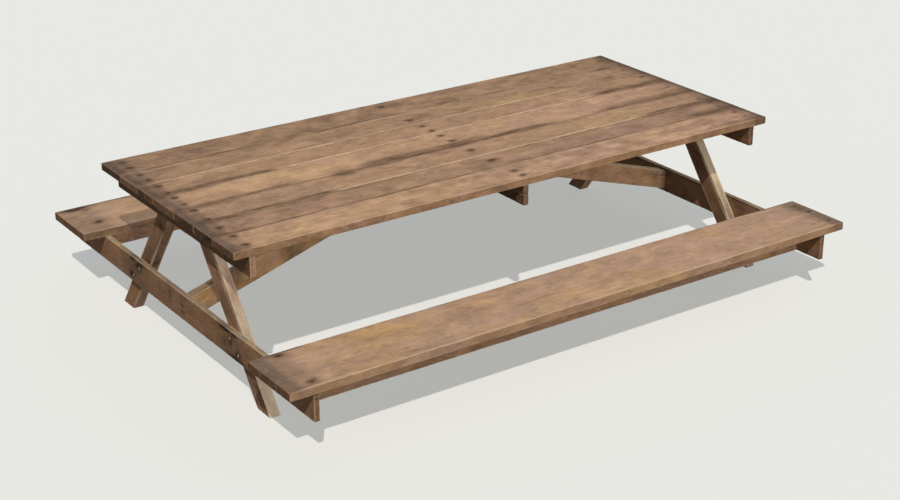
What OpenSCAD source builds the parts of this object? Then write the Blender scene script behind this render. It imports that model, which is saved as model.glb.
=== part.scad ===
// Picnic table with two fixed benches, built from sawn boards on two splayed trestles.
// X runs along the table, Y across it (front is -Y) and Z up.
// The origin is on the ground under the middle of the table.

/* [Table top] */
// Length of the table top
top_l = 2990; // [1800:10:3600]
// Height of the table top above the ground
top_h = 760; // [700:1:820]
// Thickness of the top boards
top_t = 36; // [24:1:50]
// Width of top board 1, at the rear edge
board_1_w = 201; // [100:1:260]
// Width of top board 2
board_2_w = 185; // [100:1:260]
// Width of top board 3
board_3_w = 156; // [100:1:260]
// Width of top board 4, in the middle
board_4_w = 213; // [100:1:260]
// Width of top board 5
board_5_w = 177; // [100:1:260]
// Width of top board 6
board_6_w = 164; // [100:1:260]
// Width of top board 7, at the front edge
board_7_w = 192; // [100:1:260]
// Open seam between neighbouring top boards
seam = 2; // [1:0.5:8]

/* [Battens under the top] */
// Height of a batten, which stands on edge
batten_h = 99; // [90:1:130]
// Thickness of a batten
batten_t = 28; // [22:1:40]
// How far a batten stops short of the top's long edge
batten_short = 4; // [0:1:40]
// How far the middle batten stands from the middle of the table, towards the right end
batten_mid_x = 4; // [-60:1:60]
// How deep the end battens are let into the legs
batten_let_in = 14; // [0:1:18]

/* [Benches] */
// Height of the seats above the ground
seat_h = 354; // [330:1:480]
// Width of a bench board
bench_w = 348; // [240:1:400]
// Thickness of a bench board
bench_t = 40; // [28:1:55]
// How far a bench reaches past the end of the table top
bench_over = 52; // [0:1:120]
// Open gap, seen from above, between the top's edge and the bench
knee_gap = 171; // [120:1:320]

/* [Seat rails and stiffeners] */
// Height of a seat rail, which stands on edge under both benches
rail_h = 130; // [110:1:170]
// Thickness of a seat rail
rail_t = 26; // [20:1:40]
// How far a rail stops short of the bench's outer edge
rail_short = 10; // [0:1:60]
// Height of the stiffener board under a bench
stiffener_h = 130; // [80:1:170]
// Thickness of the stiffener board
stiffener_t = 22; // [18:1:40]

/* [Legs] */
// Width of a leg's board, measured square to its length
leg_w = 88; // [70:1:110]
// Thickness of a leg
leg_t = 54; // [36:1:70]
// Distance across a pair of feet, over their outer edges
foot_spread = 1460; // [1200:5:1700]
// Gap between the two legs of a pair, up under the top
leg_top_gap = 138; // [80:1:260]
// From the end of the table top to the outer face of the legs
frame_inset = 89; // [60:1:400]

/* [Diagonal braces] */
// Width of a brace, measured square to its length
brace_w = 98; // [70:1:110]
// Thickness of a brace
brace_t = 54; // [36:1:70]
// Height of a brace's lower corner above the rail's lower edge
brace_rise = 15; // [0:1:25]

/* [Bolts and coach screws] */
// Diameter of the bolts and coach screws
bolt_d = 10; // [8:1:12]
// Clearance of a bolt in its hole, all round
bolt_clear = 0.5; // [0.2:0.1:1]
// Diameter of their domed heads
bolt_head_d = 21; // [18:0.5:30]
// Height of their domed heads
bolt_head_h = 5; // [3:0.5:8]
// Depth of the square neck under the bolt head
bolt_neck = 6; // [4:0.5:8]
// Bolt thread standing out of the nut
bolt_end = 4; // [1:0.5:10]
// Diameter of the washers
washer_d = 30; // [24:1:40]
// Thickness of the washers
washer_t = 2.5; // [1.5:0.5:4]
// Width of the nuts across their flats
nut_af = 17; // [15:1:19]
// Thickness of the nuts
nut_t = 8; // [5:0.5:10]
// How deep a coach screw goes into the leg behind the seat rail
coach_bite = 44; // [30:1:48]
// Width of the six-sided socket in a coach screw's head, across its flats
coach_socket_af = 6; // [4:0.5:8]
// Depth of this socket
coach_socket_deep = 3; // [1.5:0.5:3.5]
// Height between the two coach screws that join a leg to a seat rail
coach_pitch = 56; // [40:1:66]
// How far these two screws stand to either side of the leg's centre line
coach_stagger = 14; // [0:1:18]
// Distance between the two bolts that join a leg to its batten
batten_bolt_pitch = 56; // [36:1:60]
// Height of these two bolts above the batten's lower edge
batten_bolt_rise = 29; // [20:1:32]

/* [Nails and screws] */
// Head diameter of the nails in the top boards
top_nail_head_d = 11; // [8:0.5:13]
// Shank diameter of the nails in the top boards
top_nail_d = 4; // [3:0.5:5]
// Head diameter of the nails in the benches
bench_nail_head_d = 13; // [10:0.5:15]
// Shank diameter of the nails in the benches
bench_nail_d = 5.5; // [4:0.5:6]
// How deep a nail goes into the board below
nail_bite = 50; // [40:1:52]
// How far the nails over the left batten stand off its middle, towards the right end
left_nails_off = -5; // [-9:1:9]
// How far the nails over the middle batten stand off its middle, towards the right end
middle_nails_off = 9; // [-9:1:9]
// How far the nails over the right batten stand off its middle, towards the right end
right_nails_off = 9; // [-9:1:9]
// Head diameter of the screws
screw_head_d = 9; // [8:0.5:11]
// Shank diameter of the screws
screw_d = 5; // [3.5:0.5:5.5]
// How deep a rail screw goes into the end of a stiffener or brace
screw_bite = 55; // [30:1:70]
// Distance between the two rail screws of a pair
screw_pitch = 50; // [30:1:56]
// Height between the slanting screws that hold the braces to the middle batten
brace_screw_pitch = 16; // [13:1:18]
// How far a slanting screw stops short of the middle batten's far side
brace_screw_short = 7; // [3:1:9]
// How far nail and screw heads lie below the surface
head_sink = 0.8; // [0.2:0.1:2]
// Thickness of the rim of nail and screw heads
head_rim = 1; // [0.5:0.1:2]
// Clearance round nails and screws
nail_clear = 0.05; // [0.02:0.01:0.2]

/* [Finish] */
// Radius of the worn arrises along every board
arris = 3; // [1:0.5:5]

/* [Hidden] */

// Heights of the boards' lower and upper sides
top_under = top_h - top_t;
batten_under = top_under - batten_h;
bench_under = seat_h - bench_t;
rail_mid = bench_under - rail_h / 2;
stiffener_mid = bench_under - stiffener_h / 2;

// Table top: each board's width, and the whole width over the boards and their seams
board_w = [board_1_w, board_2_w, board_3_w, board_4_w, board_5_w, board_6_w, board_7_w];
function sum_of_first(list, count) = count == 0 ? 0 : list[count - 1] + sum_of_first(list, count - 1);
top_w = sum_of_first(board_w, len(board_w)) + (len(board_w) - 1) * seam;
function board_rear_y(i) = top_w / 2 - sum_of_first(board_w, i) - i * seam;

// The plane where the legs' outer faces meet the end battens and the rails
frame_x = top_l / 2 - frame_inset;
batten_l = top_w - 2 * batten_short;
batten_proud = batten_t - batten_let_in;
end_batten_x = frame_x - batten_let_in + batten_t / 2;
batten_x = [-end_batten_x, batten_mid_x, end_batten_x];
nail_line_x = batten_x + [left_nails_off, middle_nails_off, right_nails_off];
rail_x = frame_x + rail_t / 2;

// Benches, seen from the middle of the table
bench_l = top_l + 2 * bench_over;
bench_in_y = top_w / 2 + knee_gap;
bench_mid_y = bench_in_y + bench_w / 2;
rail_l = 2 * (bench_in_y + bench_w - rail_short);

// A leg runs from its foot's outer edge to the gap's edge under the top. The lean is the angle
// at which a board of the leg's width spans exactly that distance across.
leg_reach = (foot_spread - leg_top_gap) / 2;
leg_lean = acos(leg_w / norm([leg_reach, top_under])) - atan2(top_under, leg_reach);
foot_mid_y = foot_spread / 2 - leg_w / cos(leg_lean) / 2;
function leg_mid_y(z) = foot_mid_y - z * tan(leg_lean);

// A brace's lower edge runs from the rail's inner face to the middle batten's lower edge. The
// middle batten stands a little to one side, so the brace at each end has its own run and slope.
brace_foot_z = bench_under - rail_h + brace_rise;
function brace_run(end) = frame_x - batten_t / 2 - end * batten_mid_x;
function brace_slope(end) = atan2(batten_under - brace_foot_z, brace_run(end));
function brace_foot_mid_z(end) = brace_foot_z + brace_w / cos(brace_slope(end)) / 2;

// Coach screws and bolts on one leg, as y and z: through the seat rail, and through the batten
coach_places = [for (s = [-1, 1])
    let (z = rail_mid + s * coach_pitch / 2) [leg_mid_y(z) - s * coach_stagger, z]];
bolt_places = [for (s = [-1, 1])
    let (z = batten_under + batten_bolt_rise) [leg_mid_y(z) + s * batten_bolt_pitch / 2, z]];
bolt_grip = batten_proud + leg_t;
coach_l = rail_t + coach_bite;

// Nails in the top, as shares of each board's width from its rear edge: left, middle, right batten
top_nail_shares = [
    [[0.27, 0.71], [0.28, 0.71], [0.26, 0.90], [0.25, 0.68], [0.13, 0.84], [0.49], [0.16, 0.74]],
    [[0.31], [0.63], [0.24, 0.81], [0.23, 0.67], [0.50], [0.46], [0.43, 0.78]],
    [[0.43], [0.46], [0.28, 0.90], [0.48], [0.72], [0.20, 0.63], [0.24, 0.63]]
];
function top_nail_places(i, batten) = [
    for (share = top_nail_shares[batten][i])
        [nail_line_x[batten], board_rear_y(i) - share * board_w[i]]
];

// Nails in the benches, as shares of the bench's width from its inner edge: front, rear bench
bench_nail_shares = [[0.09, 0.87], [0.30, 0.92]];
function bench_nail_y(rear) = [
    for (share = bench_nail_shares[rear]) (rear * 2 - 1) * (bench_in_y + share * bench_w)
];

// Pairs of rail screws at one end of the table, as y and mid height of what they hold: the front
// stiffener, the brace and the rear stiffener
function screw_pairs(end) = [
    [-bench_mid_y, stiffener_mid], [0, brace_foot_mid_z(end)], [bench_mid_y, stiffener_mid]
];

// Slanting screws enter the brace's side at 45 degrees and stop inside the middle batten
brace_screw_enter = brace_t / 2;
brace_screw_sink = screw_head_d / 2 + head_sink;
brace_screw_l = (brace_screw_enter + batten_t - brace_screw_short) * sqrt(2);

// How far a cutter runs past the surface that it opens
over = 20;

// Colours of the wood and of the metal
wood_top = "#a98468";
wood_side = "#8a6647";
wood_dark = "#6f5138";
steel = "#4b4642";

// Helpers for boards

// Cross-section of a sawn board with its four arrises worn round
module section(w, t) {
    square([w - 2 * arris, t], center = true);
    square([w, t - 2 * arris], center = true);
    for (x = [-1, 1], y = [-1, 1])
        translate([x * (w / 2 - arris), y * (t / 2 - arris)])
            circle(arris, $fn = 24);
}

// Board along X, centred: length, width across Y, height
module board_x(l, w, h) {
    rotate([90, 0, 90]) linear_extrude(l, center = true) section(w, h);
}

// Board along Y, centred: length, thickness across X, height
module board_y(l, t, h) {
    rotate([90, 0, 0]) linear_extrude(l, center = true) section(t, h);
}

// Nail or screw that points down from the surface at z = 0. With room, it is its own hole:
// wider by room all round and open at the top.
module fastener(head_d, shank_d, l, sink, room = 0) {
    top = room > 0 ? over : -sink;
    taper = (head_d - shank_d) / 2;
    rotate_extrude($fn = 24) polygon([
        [0, top],
        [head_d / 2 + room, top],
        [head_d / 2 + room, -sink - head_rim],
        [shank_d / 2 + room, -sink - head_rim - taper],
        [shank_d / 2 + room, -l + shank_d],
        [0, -l - room]
    ]);
}

module top_nail(room = 0) {
    fastener(top_nail_head_d, top_nail_d, top_t + nail_bite, head_sink, room);
}

module bench_nail(room = 0) {
    fastener(bench_nail_head_d, bench_nail_d, bench_t + nail_bite, head_sink, room);
}

// Helpers that place what repeats

module at_top_nails(boards, battens) {
    for (i = boards, batten = battens, place = top_nail_places(i, batten))
        translate([place.x, place.y, top_h]) children();
}

module at_bench_nails(rears, ends) {
    for (rear = rears, end = ends, y = bench_nail_y(rear))
        translate([end * rail_x, y, seat_h]) children();
}

// Children lie along X with the board's outer face at x = 0, at both ends of the table
module at_rail_screws(ends, pairs) {
    for (end = ends, k = pairs, s = [-1, 1]) {
        pair = screw_pairs(end)[k];
        translate([end * (frame_x + rail_t), pair.x, pair.y + s * screw_pitch / 2])
            rotate([0, end * 90, 0]) children();
    }
}

module rail_screw(room = 0) {
    fastener(screw_head_d, screw_d, rail_t + screw_bite, head_sink, room);
}

// Each of the four slanting screws has its own height, so that none meets another
module at_brace_screws(ends) {
    for (end = ends, side = [-1, 1]) {
        level = (end + 2 * side) * brace_screw_pitch / 2;
        translate([
            batten_mid_x + end * (batten_t / 2 + brace_screw_enter),
            side * brace_t / 2,
            batten_under + batten_h / 2 + level
        ])
            rotate([0, end * 90, end * side * 45]) children();
    }
}

module brace_screw(room = 0) {
    fastener(screw_head_d, screw_d, brace_screw_l, brace_screw_sink, room);
}

// Children are drawn with the outer board's face at x = 0 and the leg towards -X. That face
// stands proud of the legs' outer faces.
module at_legs(ends, sides, places, proud) {
    for (end = ends, side = sides, place = places)
        translate([end * (frame_x + proud), side * place.x, place.y])
            rotate([0, 0, end > 0 ? 0 : 180]) children();
}

module at_bolts(ends, sides) {
    at_legs(ends, sides, bolt_places, batten_proud) children();
}

module at_coach_screws(ends, sides) {
    at_legs(ends, sides, coach_places, rail_t) children();
}

module domed_head() {
    dome_r = (pow(bolt_head_d / 2, 2) + pow(bolt_head_h, 2)) / (2 * bolt_head_h);
    rotate([0, 90, 0]) rotate_extrude($fn = 32) intersection() {
        translate([0, bolt_head_h - dome_r]) circle(dome_r, $fn = 96);
        square([bolt_head_d / 2, bolt_head_h]);
    }
}

// Bolt with a square neck that keeps it from turning
module bolt() {
    domed_head();
    translate([-bolt_neck, -bolt_d / 2, -bolt_d / 2]) cube([bolt_neck, bolt_d, bolt_d]);
    rotate([0, -90, 0]) cylinder(h = bolt_grip + washer_t + nut_t + bolt_end, d = bolt_d, $fn = 32);
}

// The hole for a bolt, through the batten and the leg, with the neck's square pocket
module bolt_hole() {
    neck = bolt_d + 2 * nail_clear;
    translate([-bolt_neck - nail_clear, -neck / 2, -neck / 2]) cube([bolt_neck + over, neck, neck]);
    translate([over, 0, 0])
        rotate([0, -90, 0]) cylinder(h = bolt_grip + 2 * over, d = bolt_d + 2 * bolt_clear, $fn = 32);
}

// Coach screw with a socket in its domed head. Its pointed end stays inside the leg, so no nut
// shows on the leg's inner face.
module coach_screw() {
    difference() {
        domed_head();
        translate([bolt_head_h - coach_socket_deep, 0, 0])
            rotate([0, 90, 0]) cylinder(h = over, d = coach_socket_af / cos(30), $fn = 6);
    }
    coach_shank(0);
}

// The shank of a coach screw. With room, it is its own hole: wider all round and open at the top.
module coach_shank(room) {
    r = bolt_d / 2 + room;
    rotate([0, -90, 0]) rotate_extrude($fn = 32) polygon([
        [0, room > 0 ? -over : 0], [r, room > 0 ? -over : 0], [r, coach_l - bolt_d], [0, coach_l + room]
    ]);
}

// Wooden sub-parts

module top_board(i) {
    color(wood_top) difference() {
        translate([0, board_rear_y(i) - board_w[i] / 2, top_h - top_t / 2])
            board_x(top_l, board_w[i], top_t);
        at_top_nails([i], [0, 1, 2]) top_nail(nail_clear);
    }
}

module batten(k) {
    color(wood_dark) difference() {
        translate([batten_x[k], 0, batten_under + batten_h / 2]) board_y(batten_l, batten_t, batten_h);
        at_top_nails([0:len(board_w) - 1], [k]) top_nail(nail_clear);
        if (k != 1) at_bolts([k - 1], [-1, 1]) bolt_hole();
        if (k == 1) at_brace_screws([-1, 1]) brace_screw(nail_clear);
    }
}

module bench(rear) {
    color(wood_top) difference() {
        translate([0, (rear * 2 - 1) * bench_mid_y, seat_h - bench_t / 2])
            board_x(bench_l, bench_w, bench_t);
        at_bench_nails([rear], [-1, 1]) bench_nail(nail_clear);
    }
}

module bench_stiffener(rear) {
    color(wood_side) difference() {
        translate([0, (rear * 2 - 1) * bench_mid_y, stiffener_mid])
            board_x(2 * frame_x, stiffener_t, stiffener_h);
        at_rail_screws([-1, 1], [rear * 2]) rail_screw(nail_clear);
    }
}

module seat_rail(end) {
    color(wood_side) difference() {
        translate([end * rail_x, 0, rail_mid]) board_y(rail_l, rail_t, rail_h);
        at_bench_nails([0, 1], [end]) bench_nail(nail_clear);
        at_rail_screws([end], [0, 1, 2]) rail_screw(nail_clear);
        at_coach_screws([end], [-1, 1]) coach_shank(nail_clear);
    }
}

// The leg's board leans on the line from its foot to the gap under the top. It is cut level at
// the ground and under the top boards, and notched for the end batten, which rests in the notch.
module leg(end, side) {
    color(wood_side) difference() {
        intersection() {
            translate([end * (frame_x - leg_t / 2), side * foot_mid_y, 0])
                rotate([side * leg_lean, 0, 0])
                    translate([0, 0, -leg_w])
                        linear_extrude(top_under / cos(leg_lean) + 2 * leg_w) section(leg_t, leg_w);
            translate([-top_l, -foot_spread, 0]) cube([2 * top_l, 2 * foot_spread, top_under]);
        }
        translate([end > 0 ? frame_x - batten_let_in : -frame_x - over, -foot_spread, batten_under])
            cube([batten_let_in + over, 2 * foot_spread, batten_h + over]);
        at_bolts([end], [side]) bolt_hole();
        at_coach_screws([end], [side]) coach_shank(nail_clear);
    }
}

// The brace's board rises from the rail's inner face to the middle batten. Its ends are cut
// plumb against both, and its top corner is cut level under the top boards.
module brace(end) {
    rise_l = brace_run(end) / cos(brace_slope(end));
    color(wood_side) difference() {
        intersection() {
            translate([end * frame_x, 0, brace_foot_mid_z(end)])
                rotate([0, end * brace_slope(end), 0])
                    translate([-end * rise_l / 2, 0, 0]) board_x(rise_l + 2 * brace_w, brace_t, brace_w);
            translate([end > 0 ? batten_mid_x + batten_t / 2 : -frame_x, -brace_t, 0])
                cube([brace_run(end), 2 * brace_t, top_under]);
        }
        at_rail_screws([end], [1]) rail_screw(nail_clear);
        at_brace_screws([end]) brace_screw(nail_clear);
    }
}

// Metal sub-parts: each is one group of separate solids

module frame_bolts() {
    color(steel) {
        at_bolts([-1, 1], [-1, 1]) bolt();
        at_coach_screws([-1, 1], [-1, 1]) coach_screw();
    }
}

module frame_washers() {
    color(steel) at_bolts([-1, 1], [-1, 1])
        translate([-bolt_grip, 0, 0]) rotate([0, -90, 0]) difference() {
            cylinder(h = washer_t, d = washer_d, $fn = 48);
            translate([0, 0, -1]) cylinder(h = washer_t + 2, d = bolt_d + 2 * bolt_clear, $fn = 32);
        }
}

module frame_nuts() {
    color(steel) at_bolts([-1, 1], [-1, 1])
        translate([-bolt_grip - washer_t, 0, 0]) rotate([0, -90, 0]) difference() {
            cylinder(h = nut_t, d = nut_af / cos(30), $fn = 6);
            translate([0, 0, -1]) cylinder(h = nut_t + 2, d = bolt_d, $fn = 32);
        }
}

module top_nails() {
    color(steel) at_top_nails([0:len(board_w) - 1], [0, 1, 2]) top_nail();
}

module bench_nails() {
    color(steel) at_bench_nails([0, 1], [-1, 1]) bench_nail();
}

module rail_screws() {
    color(steel) at_rail_screws([-1, 1], [0, 1, 2]) rail_screw();
}

module brace_screws() {
    color(steel) at_brace_screws([-1, 1]) brace_screw();
}

top_board(0);  // top_board_1
top_board(1);  // top_board_2
top_board(2);  // top_board_3
top_board(3);  // top_board_4
top_board(4);  // top_board_5
top_board(5);  // top_board_6
top_board(6);  // top_board_7
batten(0);  // batten_left
batten(1);  // batten_middle
batten(2);  // batten_right
bench(0);  // bench_front
bench(1);  // bench_rear
bench_stiffener(0);  // bench_stiffener_front
bench_stiffener(1);  // bench_stiffener_rear
seat_rail(-1);  // seat_rail_left
seat_rail(1);  // seat_rail_right
leg(-1, -1);  // leg_left_front
leg(-1, 1);  // leg_left_rear
leg(1, -1);  // leg_right_front
leg(1, 1);  // leg_right_rear
brace(-1);  // brace_left
brace(1);  // brace_right
frame_bolts();
frame_washers();
frame_nuts();
top_nails();
bench_nails();
rail_screws();
brace_screws();
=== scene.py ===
# %% [markdown]
# # A weathered picnic table with benches
#
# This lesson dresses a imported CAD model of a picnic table. The frame that it loads holds every
# board, bolt and nail at its real place and size. Each step below takes one kind of piece, says
# what it is on the real table, how it could be made, and why this way was chosen.
# All lengths are in metres, and in the lists of stains and marks in millimetres. X runs along the
# table, Y across it (the front is -Y) and Z up.

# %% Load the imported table
import math
from itertools import product

import bpy
import numpy as np
from mathutils import Matrix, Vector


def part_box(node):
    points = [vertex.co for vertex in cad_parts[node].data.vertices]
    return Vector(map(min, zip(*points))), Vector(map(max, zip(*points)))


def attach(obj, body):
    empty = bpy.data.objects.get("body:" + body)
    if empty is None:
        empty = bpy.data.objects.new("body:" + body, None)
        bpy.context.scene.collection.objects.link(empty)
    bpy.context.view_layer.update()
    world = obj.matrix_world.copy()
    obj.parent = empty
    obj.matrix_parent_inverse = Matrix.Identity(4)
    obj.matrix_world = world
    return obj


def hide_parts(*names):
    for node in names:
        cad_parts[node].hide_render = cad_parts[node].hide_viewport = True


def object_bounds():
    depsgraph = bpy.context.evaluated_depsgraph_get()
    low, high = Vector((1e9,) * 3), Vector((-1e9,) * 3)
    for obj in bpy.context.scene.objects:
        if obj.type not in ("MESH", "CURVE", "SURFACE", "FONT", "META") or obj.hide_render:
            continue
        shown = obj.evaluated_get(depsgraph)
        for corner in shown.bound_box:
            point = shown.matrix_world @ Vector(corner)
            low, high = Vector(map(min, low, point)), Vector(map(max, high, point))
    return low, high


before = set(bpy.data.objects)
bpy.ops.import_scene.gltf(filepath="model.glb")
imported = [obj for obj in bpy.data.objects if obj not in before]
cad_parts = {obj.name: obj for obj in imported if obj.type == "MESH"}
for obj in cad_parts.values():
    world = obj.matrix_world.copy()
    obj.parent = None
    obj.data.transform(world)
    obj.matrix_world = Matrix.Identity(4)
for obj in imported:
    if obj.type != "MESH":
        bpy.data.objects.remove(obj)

MM = 0.001
cad_box = [list(corner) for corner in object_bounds()]
table_length, table_width, table_height = np.subtract(cad_box[1], cad_box[0])
print(f"{len(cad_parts)} CAD nodes, {table_length:.3f} x {table_width:.3f} x {table_height:.3f} m")

# %% [markdown]
# ## The camera
#
# The photograph looks down on the table from its front left corner. A camera could be placed by
# eye, but the table's straight edges give its place exactly: the values below are the ones at
# which the CAD model's corners fall on the photograph's. Turning the camera is described as a
# photographer would: how far it is swung round, how far it looks down, and how far it is tilted.

# %% Camera
PHOTO_WIDTH = 900
FOCAL_PIXELS = 1716.37
SENSOR_MM = 36.0
CAMERA_AT = (-4.41189, -6.44496, 3.52247)
SWING = math.radians(34.5509)
LOOK_DOWN = math.radians(23.1813)
TILT = math.radians(-0.2387)


def camera_axes(swing, look_down, tilt):
    """Right, up and backward directions of a camera that looks along +Y and is then swung
    towards +X, lowered, and tilted about its own line of sight."""
    ahead = np.array([
        math.sin(swing) * math.cos(look_down),
        math.cos(swing) * math.cos(look_down),
        -math.sin(look_down),
    ])
    level_right = np.array([math.cos(swing), -math.sin(swing), 0.0])
    level_up = np.cross(level_right, ahead)
    right = math.cos(tilt) * level_right + math.sin(tilt) * level_up
    up = -math.sin(tilt) * level_right + math.cos(tilt) * level_up
    return right, up, -ahead


camera_data = bpy.data.cameras.new("camera")
camera_data.sensor_width = SENSOR_MM
camera_data.lens = FOCAL_PIXELS / PHOTO_WIDTH * SENSOR_MM
camera = bpy.data.objects.new("camera", camera_data)
bpy.context.scene.collection.objects.link(camera)
turned = Matrix(np.stack(camera_axes(SWING, LOOK_DOWN, TILT), axis=1).tolist()).to_4x4()
camera.matrix_world = Matrix.Translation(CAMERA_AT) @ turned
bpy.context.scene.camera = camera
print(f"camera lens {camera_data.lens:.2f} mm at {CAMERA_AT}")

# %% [markdown]
# ## Building materials from nodes
#
# A material in Blender is a small network of nodes. Clicking it together hides what it does, so
# the lesson writes it down: each helper adds one node and hands back the socket that comes out.

# %% Node helpers
def add_node(tree, kind, options=None, feeds=None):
    """Adds a node to a node tree. options are the node's own settings, and feeds gives its
    inputs, by name or number, a value or the socket of another node."""
    made = tree.nodes.new(kind)
    for name, value in (options or {}).items():
        setattr(made, name, value)
    for key, value in (feeds or {}).items():
        if isinstance(value, bpy.types.NodeSocket):
            tree.links.new(value, made.inputs[key])
        else:
            made.inputs[key].default_value = value
    return made


def calculate(tree, operation, first, second=0.0, third=0.0, clamp=False):
    """One step of arithmetic, such as ADD, MULTIPLY or MULTIPLY_ADD."""
    options = {"operation": operation, "use_clamp": clamp}
    return add_node(tree, "ShaderNodeMath", options, {0: first, 1: second, 2: third}).outputs[0]


def blend(tree, share, below, above):
    """Lays one colour over another by a share from 0 to 1."""
    options = {"data_type": "RGBA", "clamp_factor": True}
    return add_node(tree, "ShaderNodeMix", options, {0: share, 6: below, 7: above}).outputs[2]


def rescale(tree, value, low, high, to_low=0.0, to_high=1.0):
    """Moves values between low and high smoothly to a new range, and holds the rest."""
    options = {"interpolation_type": "SMOOTHSTEP"}
    feeds = {0: value, 1: low, 2: high, 3: to_low, 4: to_high}
    return add_node(tree, "ShaderNodeMapRange", options, feeds).outputs[0]


def noise(tree, vector, scale, detail, roughness, distortion=0.0):
    """Cloudy noise around 0.5."""
    feeds = {"Vector": vector, "Scale": scale, "Detail": detail, "Roughness": roughness,
             "Distortion": distortion}
    return add_node(tree, "ShaderNodeTexNoise", None, feeds).outputs[0]


def stretch(tree, vector, factors, shift=(0.0, 0.0, 0.0)):
    """Scales a vector along its own axes, so that a pattern runs long in one of them."""
    feeds = {"Vector": vector, "Scale": factors, "Location": shift}
    return add_node(tree, "ShaderNodeMapping", {"vector_type": "POINT"}, feeds).outputs[0]


def empty_material(name):
    """A material without any nodes yet, and its node tree."""
    made = bpy.data.materials.new(name)
    made.use_nodes = True
    made.node_tree.nodes.clear()
    return made, made.node_tree


def seen_directly(tree):
    """One for what the camera sees, also by a gloss, and nought for light on its way."""
    rays = add_node(tree, "ShaderNodeLightPath").outputs
    return calculate(tree, "MAXIMUM", rays["Is Camera Ray"], rays["Is Glossy Ray"])


def colour(red, green, blue):
    """A colour given as it is seen, from 0 to 255, as the linear value that Blender uses."""
    seen = np.array([red, green, blue]) / 255
    linear = np.where(seen <= 0.04045, seen / 12.92, ((seen + 0.055) / 1.055) ** 2.4)
    return (*linear.tolist(), 1.0)


print("node helpers ready")

# %% [markdown]
# ## Floor and light
#
# The photograph stands the table on a plain pale floor, with crisp flat shadows that fall to the
# rear right. A sun lamp gives such shadows. The rest of the light comes from the pale world and
# from lamps that cast no shadow and stand for large soft lights: one above the camera, a weaker
# one behind the table, and a faint one from below in place of light thrown back by the floor.
# The parts add up to one on level ground, so that a colour renders about as it is written. The
# sun is a little warm and the rest a little cool, which together is white.

# %% Sun, soft light and world
WARM = (1.044, 0.985, 0.926)
COOL = (0.97, 1.01, 1.05)
LIGHTS = [
    # name, run of its light, share of full light, spread in degrees, tint, casts shadow and gloss
    ("sun", (0.48, 0.73, -1.0), 0.405, 0.6, WARM, True),
    ("front_light", (0.05, 0.80, -0.60), 0.355, 30.0, COOL, False),
    ("back_light", (-0.60, -0.60, -0.22), 0.12, 30.0, COOL, False),
    ("low_light", (0.0, 0.0, 1.0), 0.15, 30.0, COOL, False),
]
LAMP_HEIGHT = 4.0
NEARLY_UP = (0.0, 0.1, 1.0)
WORLD_SHARE = 0.12
FLOOR_COLOUR = colour(232, 233, 228)


def sun_lamp(name, run, share, spread_degrees, tint, is_sun):
    """A lamp whose light runs along one direction. Its strength is the share of full light
    that it brings to a level face: full light is pi watts per square metre. Its sideways axis
    is square to its light and to a direction that no lamp has."""
    direction = np.array(run) / np.linalg.norm(run)
    lamp = bpy.data.lights.new(name, "SUN")
    lamp.energy = share * math.pi / abs(direction[2])
    lamp.color = tint
    lamp.angle = math.radians(spread_degrees)
    lamp.use_shadow = is_sun
    holder = bpy.data.objects.new(name, lamp)
    holder.visible_glossy = is_sun
    bpy.context.scene.collection.objects.link(holder)
    sideways = np.cross(NEARLY_UP, -direction)
    sideways = sideways / np.linalg.norm(sideways)
    axes = np.stack([sideways, np.cross(-direction, sideways), -direction], axis=1)
    holder.matrix_world = Matrix.Translation((0.0, 0.0, LAMP_HEIGHT)) @ Matrix(axes.tolist()).to_4x4()
    print(f"{name}: {lamp.energy:.3f} W per square metre")
    return holder


def pale_world():
    """Weak cool light from all round, behind which the camera sees the floor's own colour."""
    made = bpy.data.worlds.new("pale_world")
    made.use_nodes = True
    tree = made.node_tree
    tree.nodes.clear()
    sky_light = add_node(tree, "ShaderNodeBackground", None,
                         {"Color": (*COOL, 1.0), "Strength": WORLD_SHARE})
    backdrop = add_node(tree, "ShaderNodeBackground", None,
                        {"Color": FLOOR_COLOUR, "Strength": 1.0})
    sky_mix = add_node(tree, "ShaderNodeMixShader", None,
                       {0: seen_directly(tree), 1: sky_light.outputs[0], 2: backdrop.outputs[0]})
    add_node(tree, "ShaderNodeOutputWorld", None, {"Surface": sky_mix.outputs[0]})
    return made


for light in LIGHTS:
    sun_lamp(*light)
bpy.context.scene.world = pale_world()

# %% [markdown]
# ## The floor
#
# The photograph's floor has no edge and no texture. A studio would sweep a roll of paper up
# behind the table. Here one flat square does it, much wider than the view. The camera sees it
# pale, but the light that it throws back is darker, as the table's shaded sides ask for.

# %% Floor
FLOOR_HALF = 90.0
FLOOR_DROP = 0.2 * MM
FLOOR_BOUNCE = colour(66, 65, 63)


def floor_material():
    """Pale to the camera, and darker to the light that it throws back on the table."""
    made, tree = empty_material("pale_floor")
    matt = add_node(tree, "ShaderNodeBsdfDiffuse", None,
                    {"Color": blend(tree, seen_directly(tree), FLOOR_BOUNCE, FLOOR_COLOUR)})
    add_node(tree, "ShaderNodeOutputMaterial", None, {"Surface": matt.outputs[0]})
    return made


floor_mesh = bpy.data.meshes.new("floor")
floor_corners = [(x * FLOOR_HALF, y * FLOOR_HALF, -FLOOR_DROP)
                 for x, y in ((-1, -1), (1, -1), (1, 1), (-1, 1))]
floor_mesh.from_pydata(floor_corners, [], [(0, 1, 2, 3)])
floor_mesh.materials.append(floor_material())
floor = bpy.data.objects.new("floor", floor_mesh)
bpy.context.scene.collection.objects.link(floor)
print(f"floor {2 * FLOOR_HALF:.0f} m wide, {FLOOR_DROP / MM:.1f} mm below the feet")

# %% [markdown]
# ## Where the nails, screws and bolts sit
#
# Wood dips and darkens round old iron, so the boards have to know where each head is. The places
# could be typed in again, but the CAD meshes already hold them: the points at the outer level of
# a node are the rims of its heads, and the middle of each rim is a head's place.

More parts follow.
